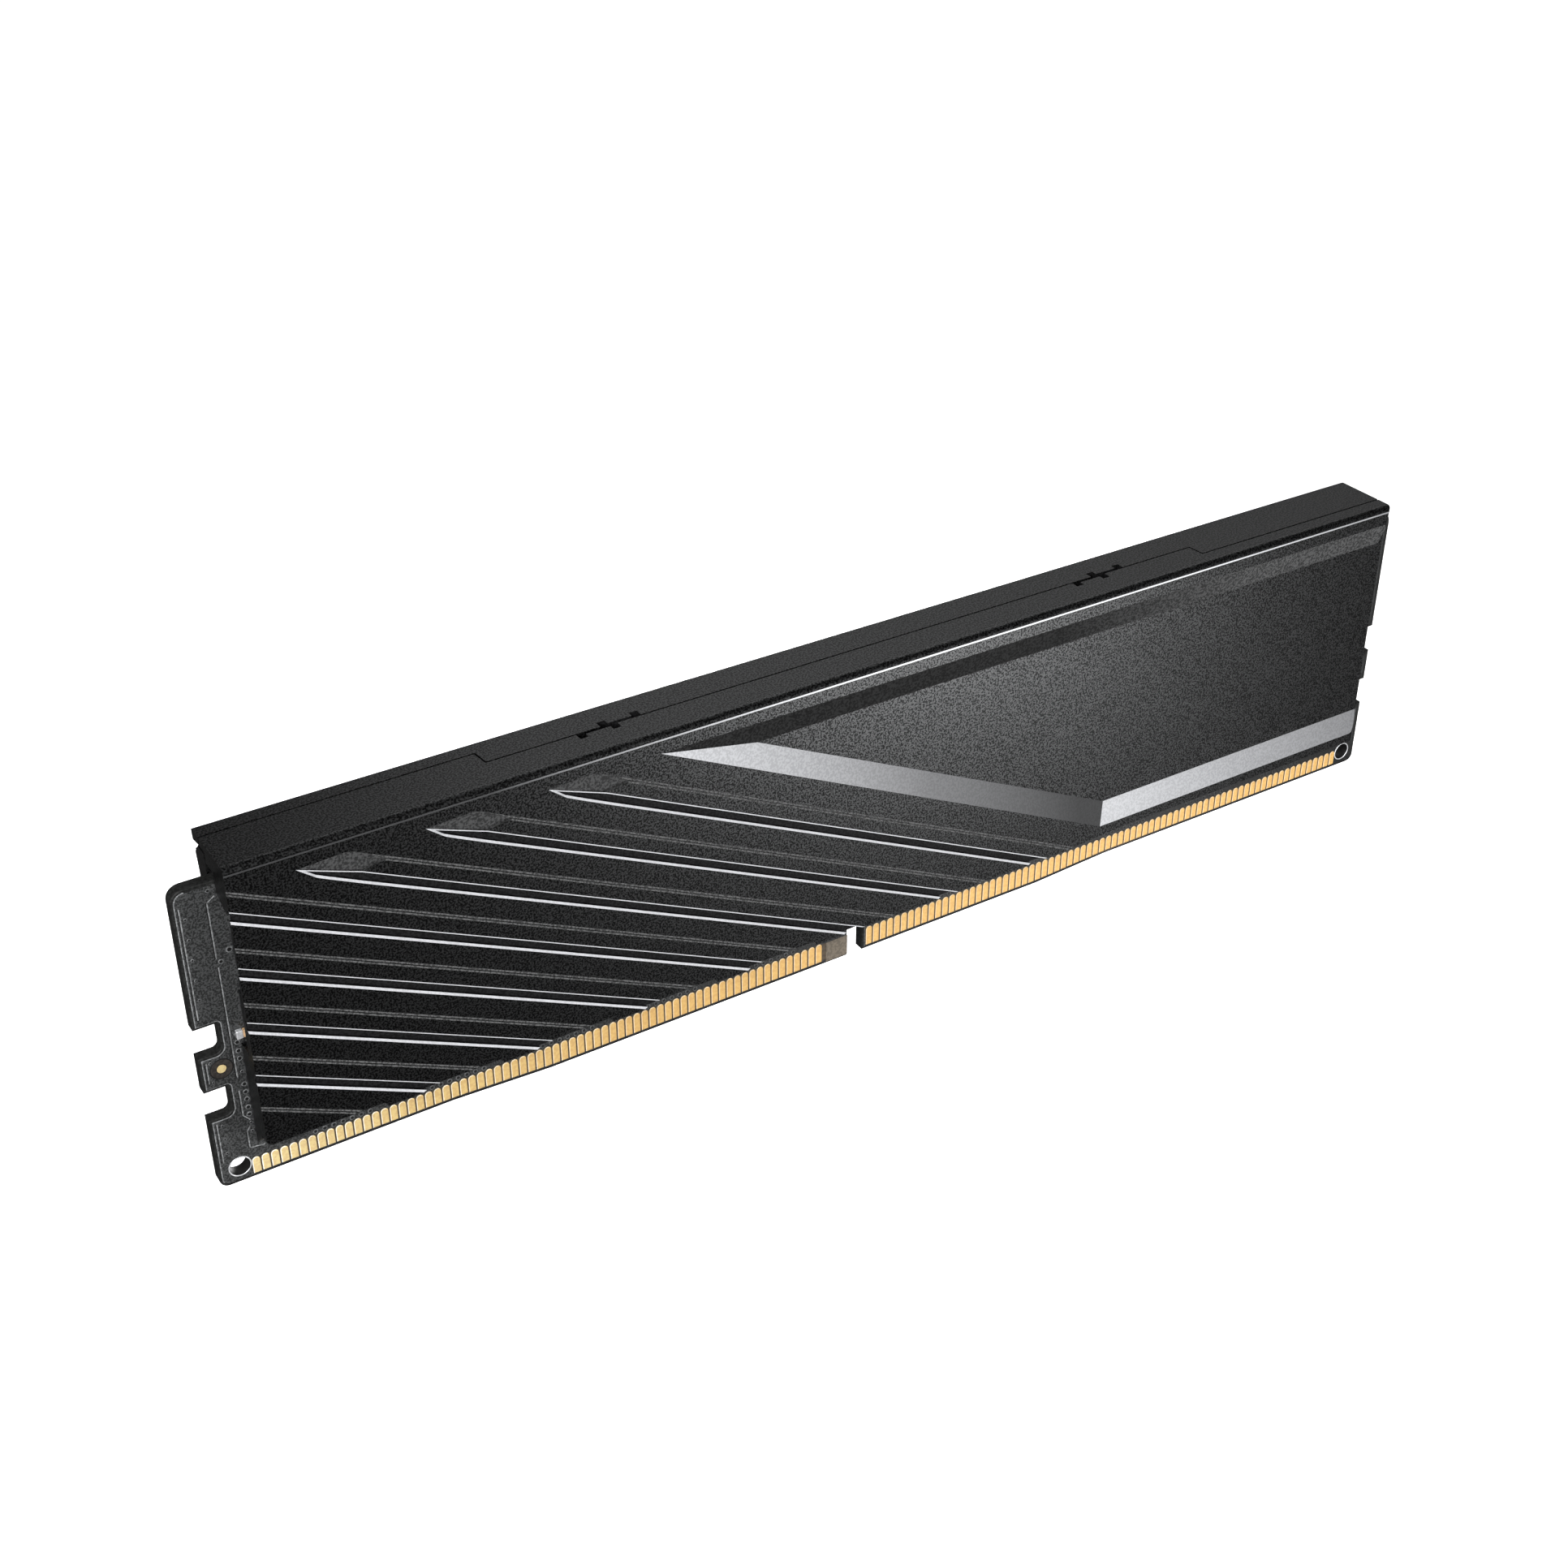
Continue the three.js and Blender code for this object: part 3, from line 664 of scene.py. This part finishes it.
def panel_pocket():
    past = SHELL_END + PAST
    outer = [PANEL_TIP, (PANEL_OUTER_CORNER, PANEL_OUTER_BOTTOM),
             (past, PANEL_OUTER_BOTTOM), (past, PANEL_OUTER_TOP)]
    inner = [PANEL_INNER_TIP, (PANEL_INNER_CORNER, PANEL_INNER_BOTTOM),
             (past, PANEL_INNER_BOTTOM), (past, PANEL_INNER_TOP)]

    # The diagonal border, the bottom stripe and the upper slope carry painted light that fades along the
    # module.
    def slot_of(layer, edge):
        return {0: DIAGONAL_HIGHLIGHT, 1: STRIPE_HIGHLIGHT, 3: SLOPE_SHADING}.get(edge, ANODISED)

    depths = [-FACE - PANEL_SKIM, -FACE + PANEL_DEPTH]
    return layered([outer, inner], depths, slot_of, (ANODISED, ANODISED))


def tip_facet(tip):
    """A shallow wedge over a groove's tip, deepest where it meets the groove."""
    outline = [(tip[0] + x, tip[1] + z) for x, z in FACET]
    points, faces, slots = plate(outline, -FACE - SKIM, -FACE)
    top = max(z for _, z in FACET)
    fall = top - min(z for _, z in FACET)
    back = len(outline)
    for i in range(back, 2 * back):
        x, y, z = points[i]
        points[i] = (x, y + FACET_DEPTH * (tip[1] + top - z) / fall + FACET_TOP_DEPTH, z)
    return points, faces, slots


def rib_lines():
    """Pairs of fine lines between the grooves, each a shallow channel."""
    left_top = RIB_LEFT_TOP - SLOPE * PAST
    starts = [(-SHELL_END - PAST, left_top - i * RIB_PITCH) for i in range(RIB_COUNT)]
    starts += [(tip[0] + RIB_FROM_TIP[0], tip[1] + RIB_FROM_TIP[1]) for tip in TIPS]
    cuts = []
    for x, z in starts:
        end_x = GROOVE_END_X + max(0, x + SHELL_END)
        for drop in (0, RIB_GAP):
            upper = line_from(x, z - drop, end_x)
            lower = [(a, b - RIB_LINE) for a, b in reversed(upper)]
            outer = upper + lower
            inner = [(a, b - RIB_LINE * RIB_SIDE) for a, b in upper]
            inner += [(a, b + RIB_LINE * RIB_SIDE) for a, b in lower]
            cuts.append(layered([outer, inner], [-FACE - SKIM, -FACE + RIB_DEPTH], None, (RIB_SHADING, RIB_SHADING)))
    return cuts


def end_tabs():
    """Walls at the shell's ends. The upper left one bridges the board."""
    inner = -(FACE - WALL) - TAB_INSET
    edge = -BOARD_FACE - BOARD_GAP
    roof_under = SHELL_TOP - ROOF + TAB_INSET
    under_other = SHELL_TOP - ROOF - BOARD_GAP
    step = -SEAM_OUTER - TAB_INSET
    upper_left = [(inner, TAB_AT_FACE), (edge, TAB_AT_BOARD), (edge, TAB_BRIDGE), (BOARD_FACE, TAB_BRIDGE),
                  (BOARD_FACE, roof_under), (inner, roof_under)]
    lower_left = [(inner, SHELL_BOTTOM + EDGE_LIFT), (edge, LOWER_TAB_AT_BOARD), (edge, LOWER_TAB_TOP),
                  (inner, LOWER_TAB_TOP)]
    upper_right = [(inner, TAB_AT_FACE), (edge, TAB_AT_BOARD), (edge, under_other), (step, under_other),
                   (step, roof_under), (inner, roof_under)]
    wall = SHELL_END - END_WALL
    return [bar(upper_left, -SHELL_END, -wall), bar(lower_left, -SHELL_END, -wall),
            bar(upper_right, wall, SHELL_END)]


def window_cuts():
    """Wedges cut from the inner side of the face's left edge, between the end walls."""
    inner = -(FACE - WALL)
    cuts = []
    for bottom, top, left, run in END_WINDOW:
        edge = -FACE + left
        outline = [(-SHELL_END - PAST, edge), (-SHELL_END, edge), (-SHELL_END + run, inner),
                   (-SHELL_END + run, inner + PAST), (-SHELL_END - PAST, inner + PAST)]
        cuts.append(slab(outline, bottom, top))
    return cuts


def end_rounding():
    """Takes the sharp corner off the face's right end, less and less towards the crease."""
    def outline(radius):
        return [(SHELL_END + PAST, -FACE - PAST), (SHELL_END - radius, -FACE - PAST),
                *arc(SHELL_END - radius, -FACE + radius, radius, 270, 360, steps=6),
                (SHELL_END + PAST, -FACE + radius)]

    heights = [0, END_ROUND_UPTO, SHELL_TOP - BEND, SHELL_TOP + PAST]
    radii = [END_ROUND, END_ROUND, ROOF_END_ROUND, ROOF_END_ROUND]
    points, faces, slots = layered([outline(r) for r in radii], heights)
    return [(x, z, y) for x, y, z in points], [tuple(reversed(f)) for f in faces], slots


def slope_mitre():
    """Where the panel's upper slope stops short of the right end, on a slant."""
    foot = PANEL_INNER_TOP - MITRE_BELOW
    outline = [(SHELL_END - MITRE_FOOT, foot), (SHELL_END + PAST, foot),
               (SHELL_END + PAST, PANEL_OUTER_TOP), (SHELL_END - MITRE_TOP, PANEL_OUTER_TOP)]
    return plate(outline, -FACE - PAST, -FACE + PANEL_DEPTH)


def corner_nick():
    """A nick under the roof at the rear shell's end."""
    return bar(NICK_SECTION, SHELL_END - NICK_LENGTH, SHELL_END + PAST)


def shell(name):
    points, faces, slots = bar(shell_section(), -SHELL_END, SHELL_END, section_slot)
    piece = make_piece(name, points, faces, slots, shell_finishes, scale=1)
    combine(piece, plate(face_outline(), -FACE - PAST, SEAM_OUTER + 2 * PAST), "INTERSECT", ANODISED)
    combine(piece, slab(roof_outline(), 0, SHELL_TOP + PAST), "INTERSECT", ANODISED)
    for tab in end_tabs():
        combine(piece, tab, "UNION", ANODISED)
    # The faces left by the lock slots, the window cuts and the end rounding are painted shade.
    for cut in lock_cuts():
        combine(piece, cut, "DIFFERENCE", GROOVE_SHADE)
    for cut in window_cuts():
        combine(piece, cut, "DIFFERENCE", GROOVE_SHADE)
    combine(piece, end_rounding(), "DIFFERENCE", GROOVE_SHADE)
    if name == "rear_shell":
        combine(piece, corner_nick(), "DIFFERENCE", ANODISED)
    for tip in TIPS:
        combine(piece, tip_facet(tip), "DIFFERENCE", FACET_SHADING)
    for cut in rib_lines():
        combine(piece, cut, "DIFFERENCE")
    combine(piece, panel_pocket(), "DIFFERENCE")
    combine(piece, slope_mitre(), "DIFFERENCE", ANODISED)
    for index in range(EDGE_GROOVES):
        combine(piece, edge_groove(index), "DIFFERENCE")
    for tip in TIPS:
        combine(piece, tipped_groove(tip), "DIFFERENCE")
    piece.data.transform(Matrix.Scale(MM, 4))
    return piece


front_shell = shell("front_shell")
rear_shell = shell("rear_shell")
rear_shell.data.transform(Matrix.Rotation(math.pi, 4, "Z"))
for piece, node in ((front_shell, "front_heat_spreader"), (rear_shell, "rear_heat_spreader")):
    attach(piece, "root")
    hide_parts(node)

# ---------------------------------------------------------------- contacts


def edge_height(x):
    """How far the contact edge is stepped up at a place along X."""
    left = (x - EDGE_RAMP_LEFT[1]) / (EDGE_RAMP_LEFT[0] - EDGE_RAMP_LEFT[1])
    right = (x - EDGE_RAMP_RIGHT[0]) / (EDGE_RAMP_RIGHT[1] - EDGE_RAMP_RIGHT[0])
    return EDGE_LIFT * min(1, max(left, right, 0))


def finger_outline(x, margin):
    half = FINGER_WIDTH / 2 - margin
    shoulder = FINGER_TOP - FINGER_WIDTH / 2
    bottom = edge_height(x) + FINGER_ABOVE_EDGE + margin
    return [(x - half, bottom), (x + half, bottom), *arc(x, shoulder, half, 0, 180, steps=6)]


def contact_bank(name, bank, side):
    first, count = BANKS[bank]
    outer = BOARD_FACE + FINGER_THICKNESS
    depths = [-outer, -(outer - FINGER_RIM / 2), -BOARD_FACE]
    points = []
    faces = []
    slots = []

    # The rim's upper left and left sides get the painted highlight.
    def slot_of(layer, edge):
        return 1 if layer == 0 and edge >= FINGER_LIT_FROM else 0

    for i in range(count):
        x = first + i * PITCH
        outlines = [finger_outline(x, margin) for margin in (FINGER_RIM, 0, 0)]
        finger, finger_faces, finger_slots = layered(outlines, depths, slot_of)
        base = len(points)
        points += [(px, side * -py, pz) for px, py, pz in finger]
        turn = 1 if side < 0 else -1
        faces += [tuple(base + v for v in f[::turn]) for f in finger_faces]
        slots += finger_slots
    return make_piece(name, points, faces, slots, [gold, gold_rim_highlight])


for face, side in (("front", -1), ("rear", 1)):
    for bank in BANKS:
        fingers = contact_bank(f"fingers_{face}_{bank}", bank, side)
        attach(fingers, "root")
        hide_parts(f"contacts_{face}_{bank}")

# ---------------------------------------------------------------- circuit board


def board_outline():
    """The board from its lower left corner round: contact edge, right end, top, left end."""
    end = BOARD_END
    low = EDGE_LIFT + BOARD_LOWER_RADIUS
    notch_radius = (KEY_NOTCH[1] - KEY_NOTCH[0]) / 2
    notch_top = KEY_NOTCH_TOP - notch_radius
    right = []
    for bottom, top, lower_radius, upper_radius in reversed(SIDE_NOTCHES):
        inner = end - SIDE_NOTCH_DEPTH
        right.append((end, bottom))
        right += arc(inner + lower_radius, bottom + lower_radius, lower_radius, 270, 180, steps=6)
        right += arc(inner + upper_radius, top - upper_radius, upper_radius, 180, 90, steps=6)
        right.append((end, top))
    top_z = BOARD_TOP - BOARD_UPPER_RADIUS
    return [
        *arc(-end + BOARD_LOWER_RADIUS, low, BOARD_LOWER_RADIUS, 180, 270, steps=8),
        (EDGE_RAMP_LEFT[0], EDGE_LIFT),
        (EDGE_RAMP_LEFT[1], 0),
        (KEY_NOTCH[0], 0),
        *arc(KEY_NOTCH[0] + notch_radius, notch_top, notch_radius, 180, 0, steps=10),
        (KEY_NOTCH[1], 0),
        (EDGE_RAMP_RIGHT[0], 0),
        (EDGE_RAMP_RIGHT[1], EDGE_LIFT),
        *arc(end - BOARD_LOWER_RADIUS, low, BOARD_LOWER_RADIUS, 270, 360, steps=8),
        *right,
        *arc(end - BOARD_UPPER_RADIUS, top_z, BOARD_UPPER_RADIUS, 0, 90, steps=8),
        *arc(-end + BOARD_UPPER_RADIUS, top_z, BOARD_UPPER_RADIUS, 90, 180, steps=8),
        *[(-x, z) for x, z in reversed(right)],
    ]


def circuit_board():
    outline = board_outline()
    skin = inset(outline, SKIN_MARGIN)
    rim = inset(outline, SKIN_MARGIN - SKIN_RIM)
    bevelled = inset(outline, BOARD_BEVEL)
    edge = [(x, z + CONTACT_CHAMFER if z < CHAMFER_UPTO else z) for x, z in bevelled]
    count = len(outline)
    # The layers that hold the rim on the front and on the rear face.
    front_rim = 0
    rear_rim = 6

    # The rim gets a painted highlight only at the left end of each face and off the contact edge.
    def slot_of(layer, i):
        next_z = outline[(i + 1) % count][1]
        contact_edge = outline[i][1] < DARK_RIM_UPTO and next_z < DARK_RIM_UPTO
        left_end = outline[i][0] < 0 if layer == front_rim else outline[i][0] > 0
        lit = layer in (front_rim, rear_rim) and left_end and not contact_edge
        return BOARD_RIM_HIGHLIGHT if lit else BOARD_SIDE

    base = BOARD_FACE - SKIN_HEIGHT
    depths = [BOARD_FACE, base, base, base - BOARD_BEVEL]
    depths = [-y for y in depths] + depths[::-1]
    outlines = [skin, rim, edge, outline]
    outlines += outlines[::-1]
    solid = layered(outlines, depths, slot_of, (BOARD_SKIN, BOARD_SKIN))
    board = make_piece("board", *solid, board_finishes, scale=1)
    for side in (-1, 1):
        hole = disc(side * HOLE[0], HOLE[1], HOLE_RADIUS, steps=40)
        combine(board, plate(hole, -HOLE_CUT, HOLE_CUT), "DIFFERENCE", BOARD_SIDE)
    board.data.transform(Matrix.Scale(MM, 4))
    return board


class Relief:
    """Thin raised shapes on the board's faces, gathered into one mesh."""

    def __init__(self, name, materials):
        self.name = name
        self.materials = materials
        self.points = []
        self.faces = []
        self.slots = []

    def add(self, outline, height, slot=0, rim=RELIEF_RIM):
        """Adds one shape, to the front and to the rear face."""
        base = outline if signed_area(outline) > 0 else outline[::-1]
        top = inset(base, rim)
        depths = [-BOARD_FACE - height, -BOARD_FACE + RELIEF_ROOT]
        for side in (-1, 1):
            points, solid_faces, _ = layered([top, base], depths)
            start = len(self.points)
            self.points += [(x, -side * y, z) for x, y, z in points]
            turn = 1 if side < 0 else -1
            self.faces += [tuple(start + v for v in f[::turn]) for f in solid_faces]
            self.slots += [slot] * len(solid_faces)

    def line(self, places, width, height, slot=0):
        """Adds a line through some places, as one shape for each stretch."""
        for (ax, az), (bx, bz) in zip(places, places[1:]):
            along = Vector((bx - ax, bz - az)).normalized() * width / 2
            across = Vector((-along.y, along.x))
            start = Vector((ax, az)) - along
            end = Vector((bx, bz)) + along
            corners = [start + across, start - across, end - across, end + across]
            self.add([tuple(c) for c in corners], height, slot)

    def finish(self):
        piece = make_piece(self.name, self.points, self.faces, self.slots, self.materials)
        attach(piece, "root")


def add_board():
    board = circuit_board()
    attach(board, "root")
    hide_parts("circuit_board")


def add_vias():
    vias = Relief("vias", [via_ring, black_and_painted_shade])
    row = []
    for group in range(VIA_GROUPS):
        for i in range(VIA_GROUP_SIZE):
            row.append((via_group_start(group) + i * PITCH, VIA_ROW_Z, VIA_ROW_RADIUS))
    for x, z, radius in VIAS + row:
        for mirrored in (x, -x):
            vias.add(disc(mirrored, z, radius), VIA_HEIGHT)
            vias.add(disc(mirrored, z, radius * VIA_BORE), VIA_BORE_HEIGHT, 1, rim=FINE_RIM)
    vias.finish()


def add_traces():
    traces = Relief("traces", [trace_highlight, black_and_painted_shade])
    shadow_width = TRACE_WIDTH * TRACE_SHADOW_SHARE
    for line in TRACES:
        for turn in (1, -1):
            shadow_line = [(turn * (x - TRACE_WIDTH), z) for x, z in line]
            traces.line([(turn * x, z) for x, z in line], TRACE_WIDTH, TRACE_HEIGHT)
            traces.line(shadow_line, shadow_width, TRACE_SHADOW_HEIGHT, 1)
    traces.finish()


def add_fiducials():
    fiducials = Relief("fiducials", [fiducial_ring, gold, black_and_painted_shade])
    for x in (FIDUCIAL[0], -FIDUCIAL[0]):
        for radius, height, rim, slot in FIDUCIAL_DISCS:
            fiducials.add(disc(x, FIDUCIAL[1], radius, FIDUCIAL_STEPS), height, slot, rim)
    fiducials.finish()


def add_bare_laminate():
    bare = Relief("bare_laminate", [laminate, laminate_dark])
    for left, right in FINGER_WINDOWS:
        window = [(left, edge_height(left) + WINDOW_LIFT), (right, edge_height(right) + WINDOW_LIFT),
                  (right, WINDOW_TOP), (left, WINDOW_TOP)]
        bare.add(window, WINDOW_HEIGHT, 1, rim=FINE_RIM)
    left, right = BARE_PATCH
    patch = [(left, PATCH_BOTTOM), (right, PATCH_BOTTOM), (right, WINDOW_TOP), (left, WINDOW_TOP)]
    bare.add(patch, PATCH_HEIGHT, rim=FINE_RIM)
    bare.finish()


def plated_ring(name, side):
    """A plated hole: a barrel through the board with a rounded flange on each face."""
    x, z = HOLE
    flange = [(HOLE_BORE + out, y) for out, y in HOLE_FLANGE]
    profile = flange + [(r, -y) for r, y in reversed(flange)]
    count = len(profile)
    points = []
    faces = []
    slots = []
    for i in range(HOLE_STEPS):
        angle = 2 * math.pi * i / HOLE_STEPS
        points += [(side * x + r * math.cos(angle), y, z + r * math.sin(angle)) for r, y in profile]
        here = i * count
        after = (i + 1) % HOLE_STEPS * count
        for k in range(count):
            following = (k + 1) % count
            faces.append((here + k, here + following, after + following, after + k))
            # The profile's last edge is the bore, painted near black as the shade inside it.
            slots.append(1 if k == count - 1 else 0)
    ring = make_piece(name, points, faces, slots, [silver, black_and_painted_shade], smooth=True)
    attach(ring, "root")
    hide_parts(f"plated_hole_{name.split('_')[-1]}")


add_board()
add_vias()
add_traces()
add_fiducials()
add_bare_laminate()
plated_ring("ring_left", -1)
plated_ring("ring_right", 1)

# ---------------------------------------------------------------- small parts on the board


def capped_part(node):
    """A chip capacitor or resistor: a ceramic body between two tinned ends."""
    low, high = [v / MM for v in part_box(node)]
    cap = min(CAP_MAX, (high.x - low.x) * CAP_SHARE)
    points = []
    faces = []
    slots = []
    spans = [(low.x, low.x + cap, 0, 1), (low.x + cap, high.x - cap, CAP_STEP, 0),
             (high.x - cap, high.x, 0, 1)]
    for start, end, shrink, slot in spans:
        body, body_faces = rounded_block(start, end, low.y + shrink, high.y - shrink,
                                         low.z + shrink, high.z - shrink)
        base = len(points)
        points += body
        faces += [tuple(base + v for v in f) for f in body_faces]
        slots += [slot] * len(body_faces)
    part = make_piece(f"{node}_part", points, faces, slots, [ceramic, silver])
    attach(part, "root")
    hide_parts(node)


def rounded_block(x_min, x_max, y_min, y_max, z_min, z_max):
    """A block with its edges taken off."""
    cut = CAP_BEVEL
    outer = [(x_min + cut, z_min), (x_max - cut, z_min), (x_max, z_min + cut), (x_max, z_max - cut),
             (x_max - cut, z_max), (x_min + cut, z_max), (x_min, z_max - cut), (x_min, z_min + cut)]
    inner = inset(outer, cut)
    points, faces, _ = layered([inner, outer, outer, inner], [y_min, y_min + cut, y_max - cut, y_max])
    return points, faces


node_finishes = {
    "memory_chip": moulding,
    "power_chip": moulding,
    "hub_chip": moulding,
    "inductor": ferrite,
    "chip_pad": pad,
    "rear_foam_pad": pad,
}
for name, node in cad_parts.items():
    if name.startswith(("resistor_pack", "bulk_capacitor", "edge_capacitor")):
        capped_part(name)
    for start, material in node_finishes.items():
        if name.startswith(start):
            node.data.materials.clear()
            node.data.materials.append(material)
            edge = node.modifiers.new("edge", "BEVEL")
            edge.width = NODE_BEVEL * MM
            edge.segments = 2

# ---------------------------------------------------------------- studio

CAMERA_TARGET = Vector((-9.147, 0, 22.042)) * MM
CAMERA_AZIMUTH = math.radians(32.263)
CAMERA_ELEVATION = math.radians(31.897)
CAMERA_DISTANCE = 202.133 * MM
CAMERA_LENS = 50
CAMERA_SENSOR = 36
CAMERA_CLIP_START = 0.01
WORLD_STRENGTH = 0.06
FLOOR_Z = -120
STUDIO_RADIUS = 5000


def make_camera():
    away = Vector((
        -math.sin(CAMERA_AZIMUTH) * math.cos(CAMERA_ELEVATION),
        -math.cos(CAMERA_AZIMUTH) * math.cos(CAMERA_ELEVATION),
        math.sin(CAMERA_ELEVATION),
    ))
    camera = bpy.data.objects.new("camera", bpy.data.cameras.new("camera"))
    camera.data.lens = CAMERA_LENS
    camera.data.sensor_width = CAMERA_SENSOR
    camera.data.clip_start = CAMERA_CLIP_START
    camera.location = CAMERA_TARGET + away * CAMERA_DISTANCE
    camera.rotation_euler = (-away).to_track_quat("-Z", "Y").to_euler()
    bpy.context.scene.collection.objects.link(camera)
    bpy.context.scene.camera = camera


def soft_light(name, place, target, size, power):
    """A square soft box, with its place, target and size in millimetres and its power in watts."""
    lamp = bpy.data.lights.new(name, "AREA")
    lamp.shape = "SQUARE"
    lamp.size = size * MM
    lamp.energy = power
    light = bpy.data.objects.new(name, lamp)
    light.location = Vector(place) * MM
    aim = Vector(target) * MM - light.location
    light.rotation_euler = aim.to_track_quat("-Z", "Y").to_euler()
    light.visible_camera = False
    bpy.context.scene.collection.objects.link(light)


def white_material(name):
    """Paper white that shows its own light, so that it stays plain white from every side."""
    material = grained(name, (0.95, 0.95, 0.95), 0.9, grain=2, contrast=0.01)
    shader = material.node_tree.nodes["Principled BSDF"]
    shader.inputs["Emission Color"].default_value = (1, 1, 1, 1)
    shader.inputs["Emission Strength"].default_value = 1.0
    return material


def make_floor_and_backdrop():
    """A floor and a round wall behind it. Neither shows in reflections or takes light away."""
    edge = disc(0, 0, STUDIO_RADIUS, steps=48)
    count = len(edge)
    floor = make_piece("floor", [(x, y, FLOOR_Z) for x, y in edge], [tuple(range(count))], None,
                       [white_material("pale_floor")])
    wall_points = [(x, y, z) for z in (FLOOR_Z, FLOOR_Z + STUDIO_RADIUS) for x, y in edge]
    wall_faces = [(i, (i + 1) % count, count + (i + 1) % count, count + i) for i in range(count)]
    backdrop = make_piece("backdrop", wall_points, wall_faces, None, [white_material("pale_backdrop")])
    for piece in (floor, backdrop):
        piece.visible_glossy = False
        piece.visible_diffuse = False
        piece.visible_shadow = False


def make_world():
    world = bpy.data.worlds.new("studio")
    world.use_nodes = True
    background = world.node_tree.nodes["Background"]
    background.inputs["Color"].default_value = (1, 1, 1, 1)
    background.inputs["Strength"].default_value = WORLD_STRENGTH
    bpy.context.scene.world = world
    bpy.context.scene.view_settings.view_transform = "Standard"


make_camera()
make_world()
make_floor_and_backdrop()
soft_light("front_key", (-240, -260, 200), (0, 0, 17), size=200, power=1.9)
soft_light("top_back", (225, 270, 420), (0, 0, 34), size=400, power=0.76)
soft_light("panel_glow", (88, -145, -20), (-6, 0, 54), size=60, power=0.21)
soft_light("rear_key", (200, 330, -50), (0, 0, 17), size=120, power=1.0)
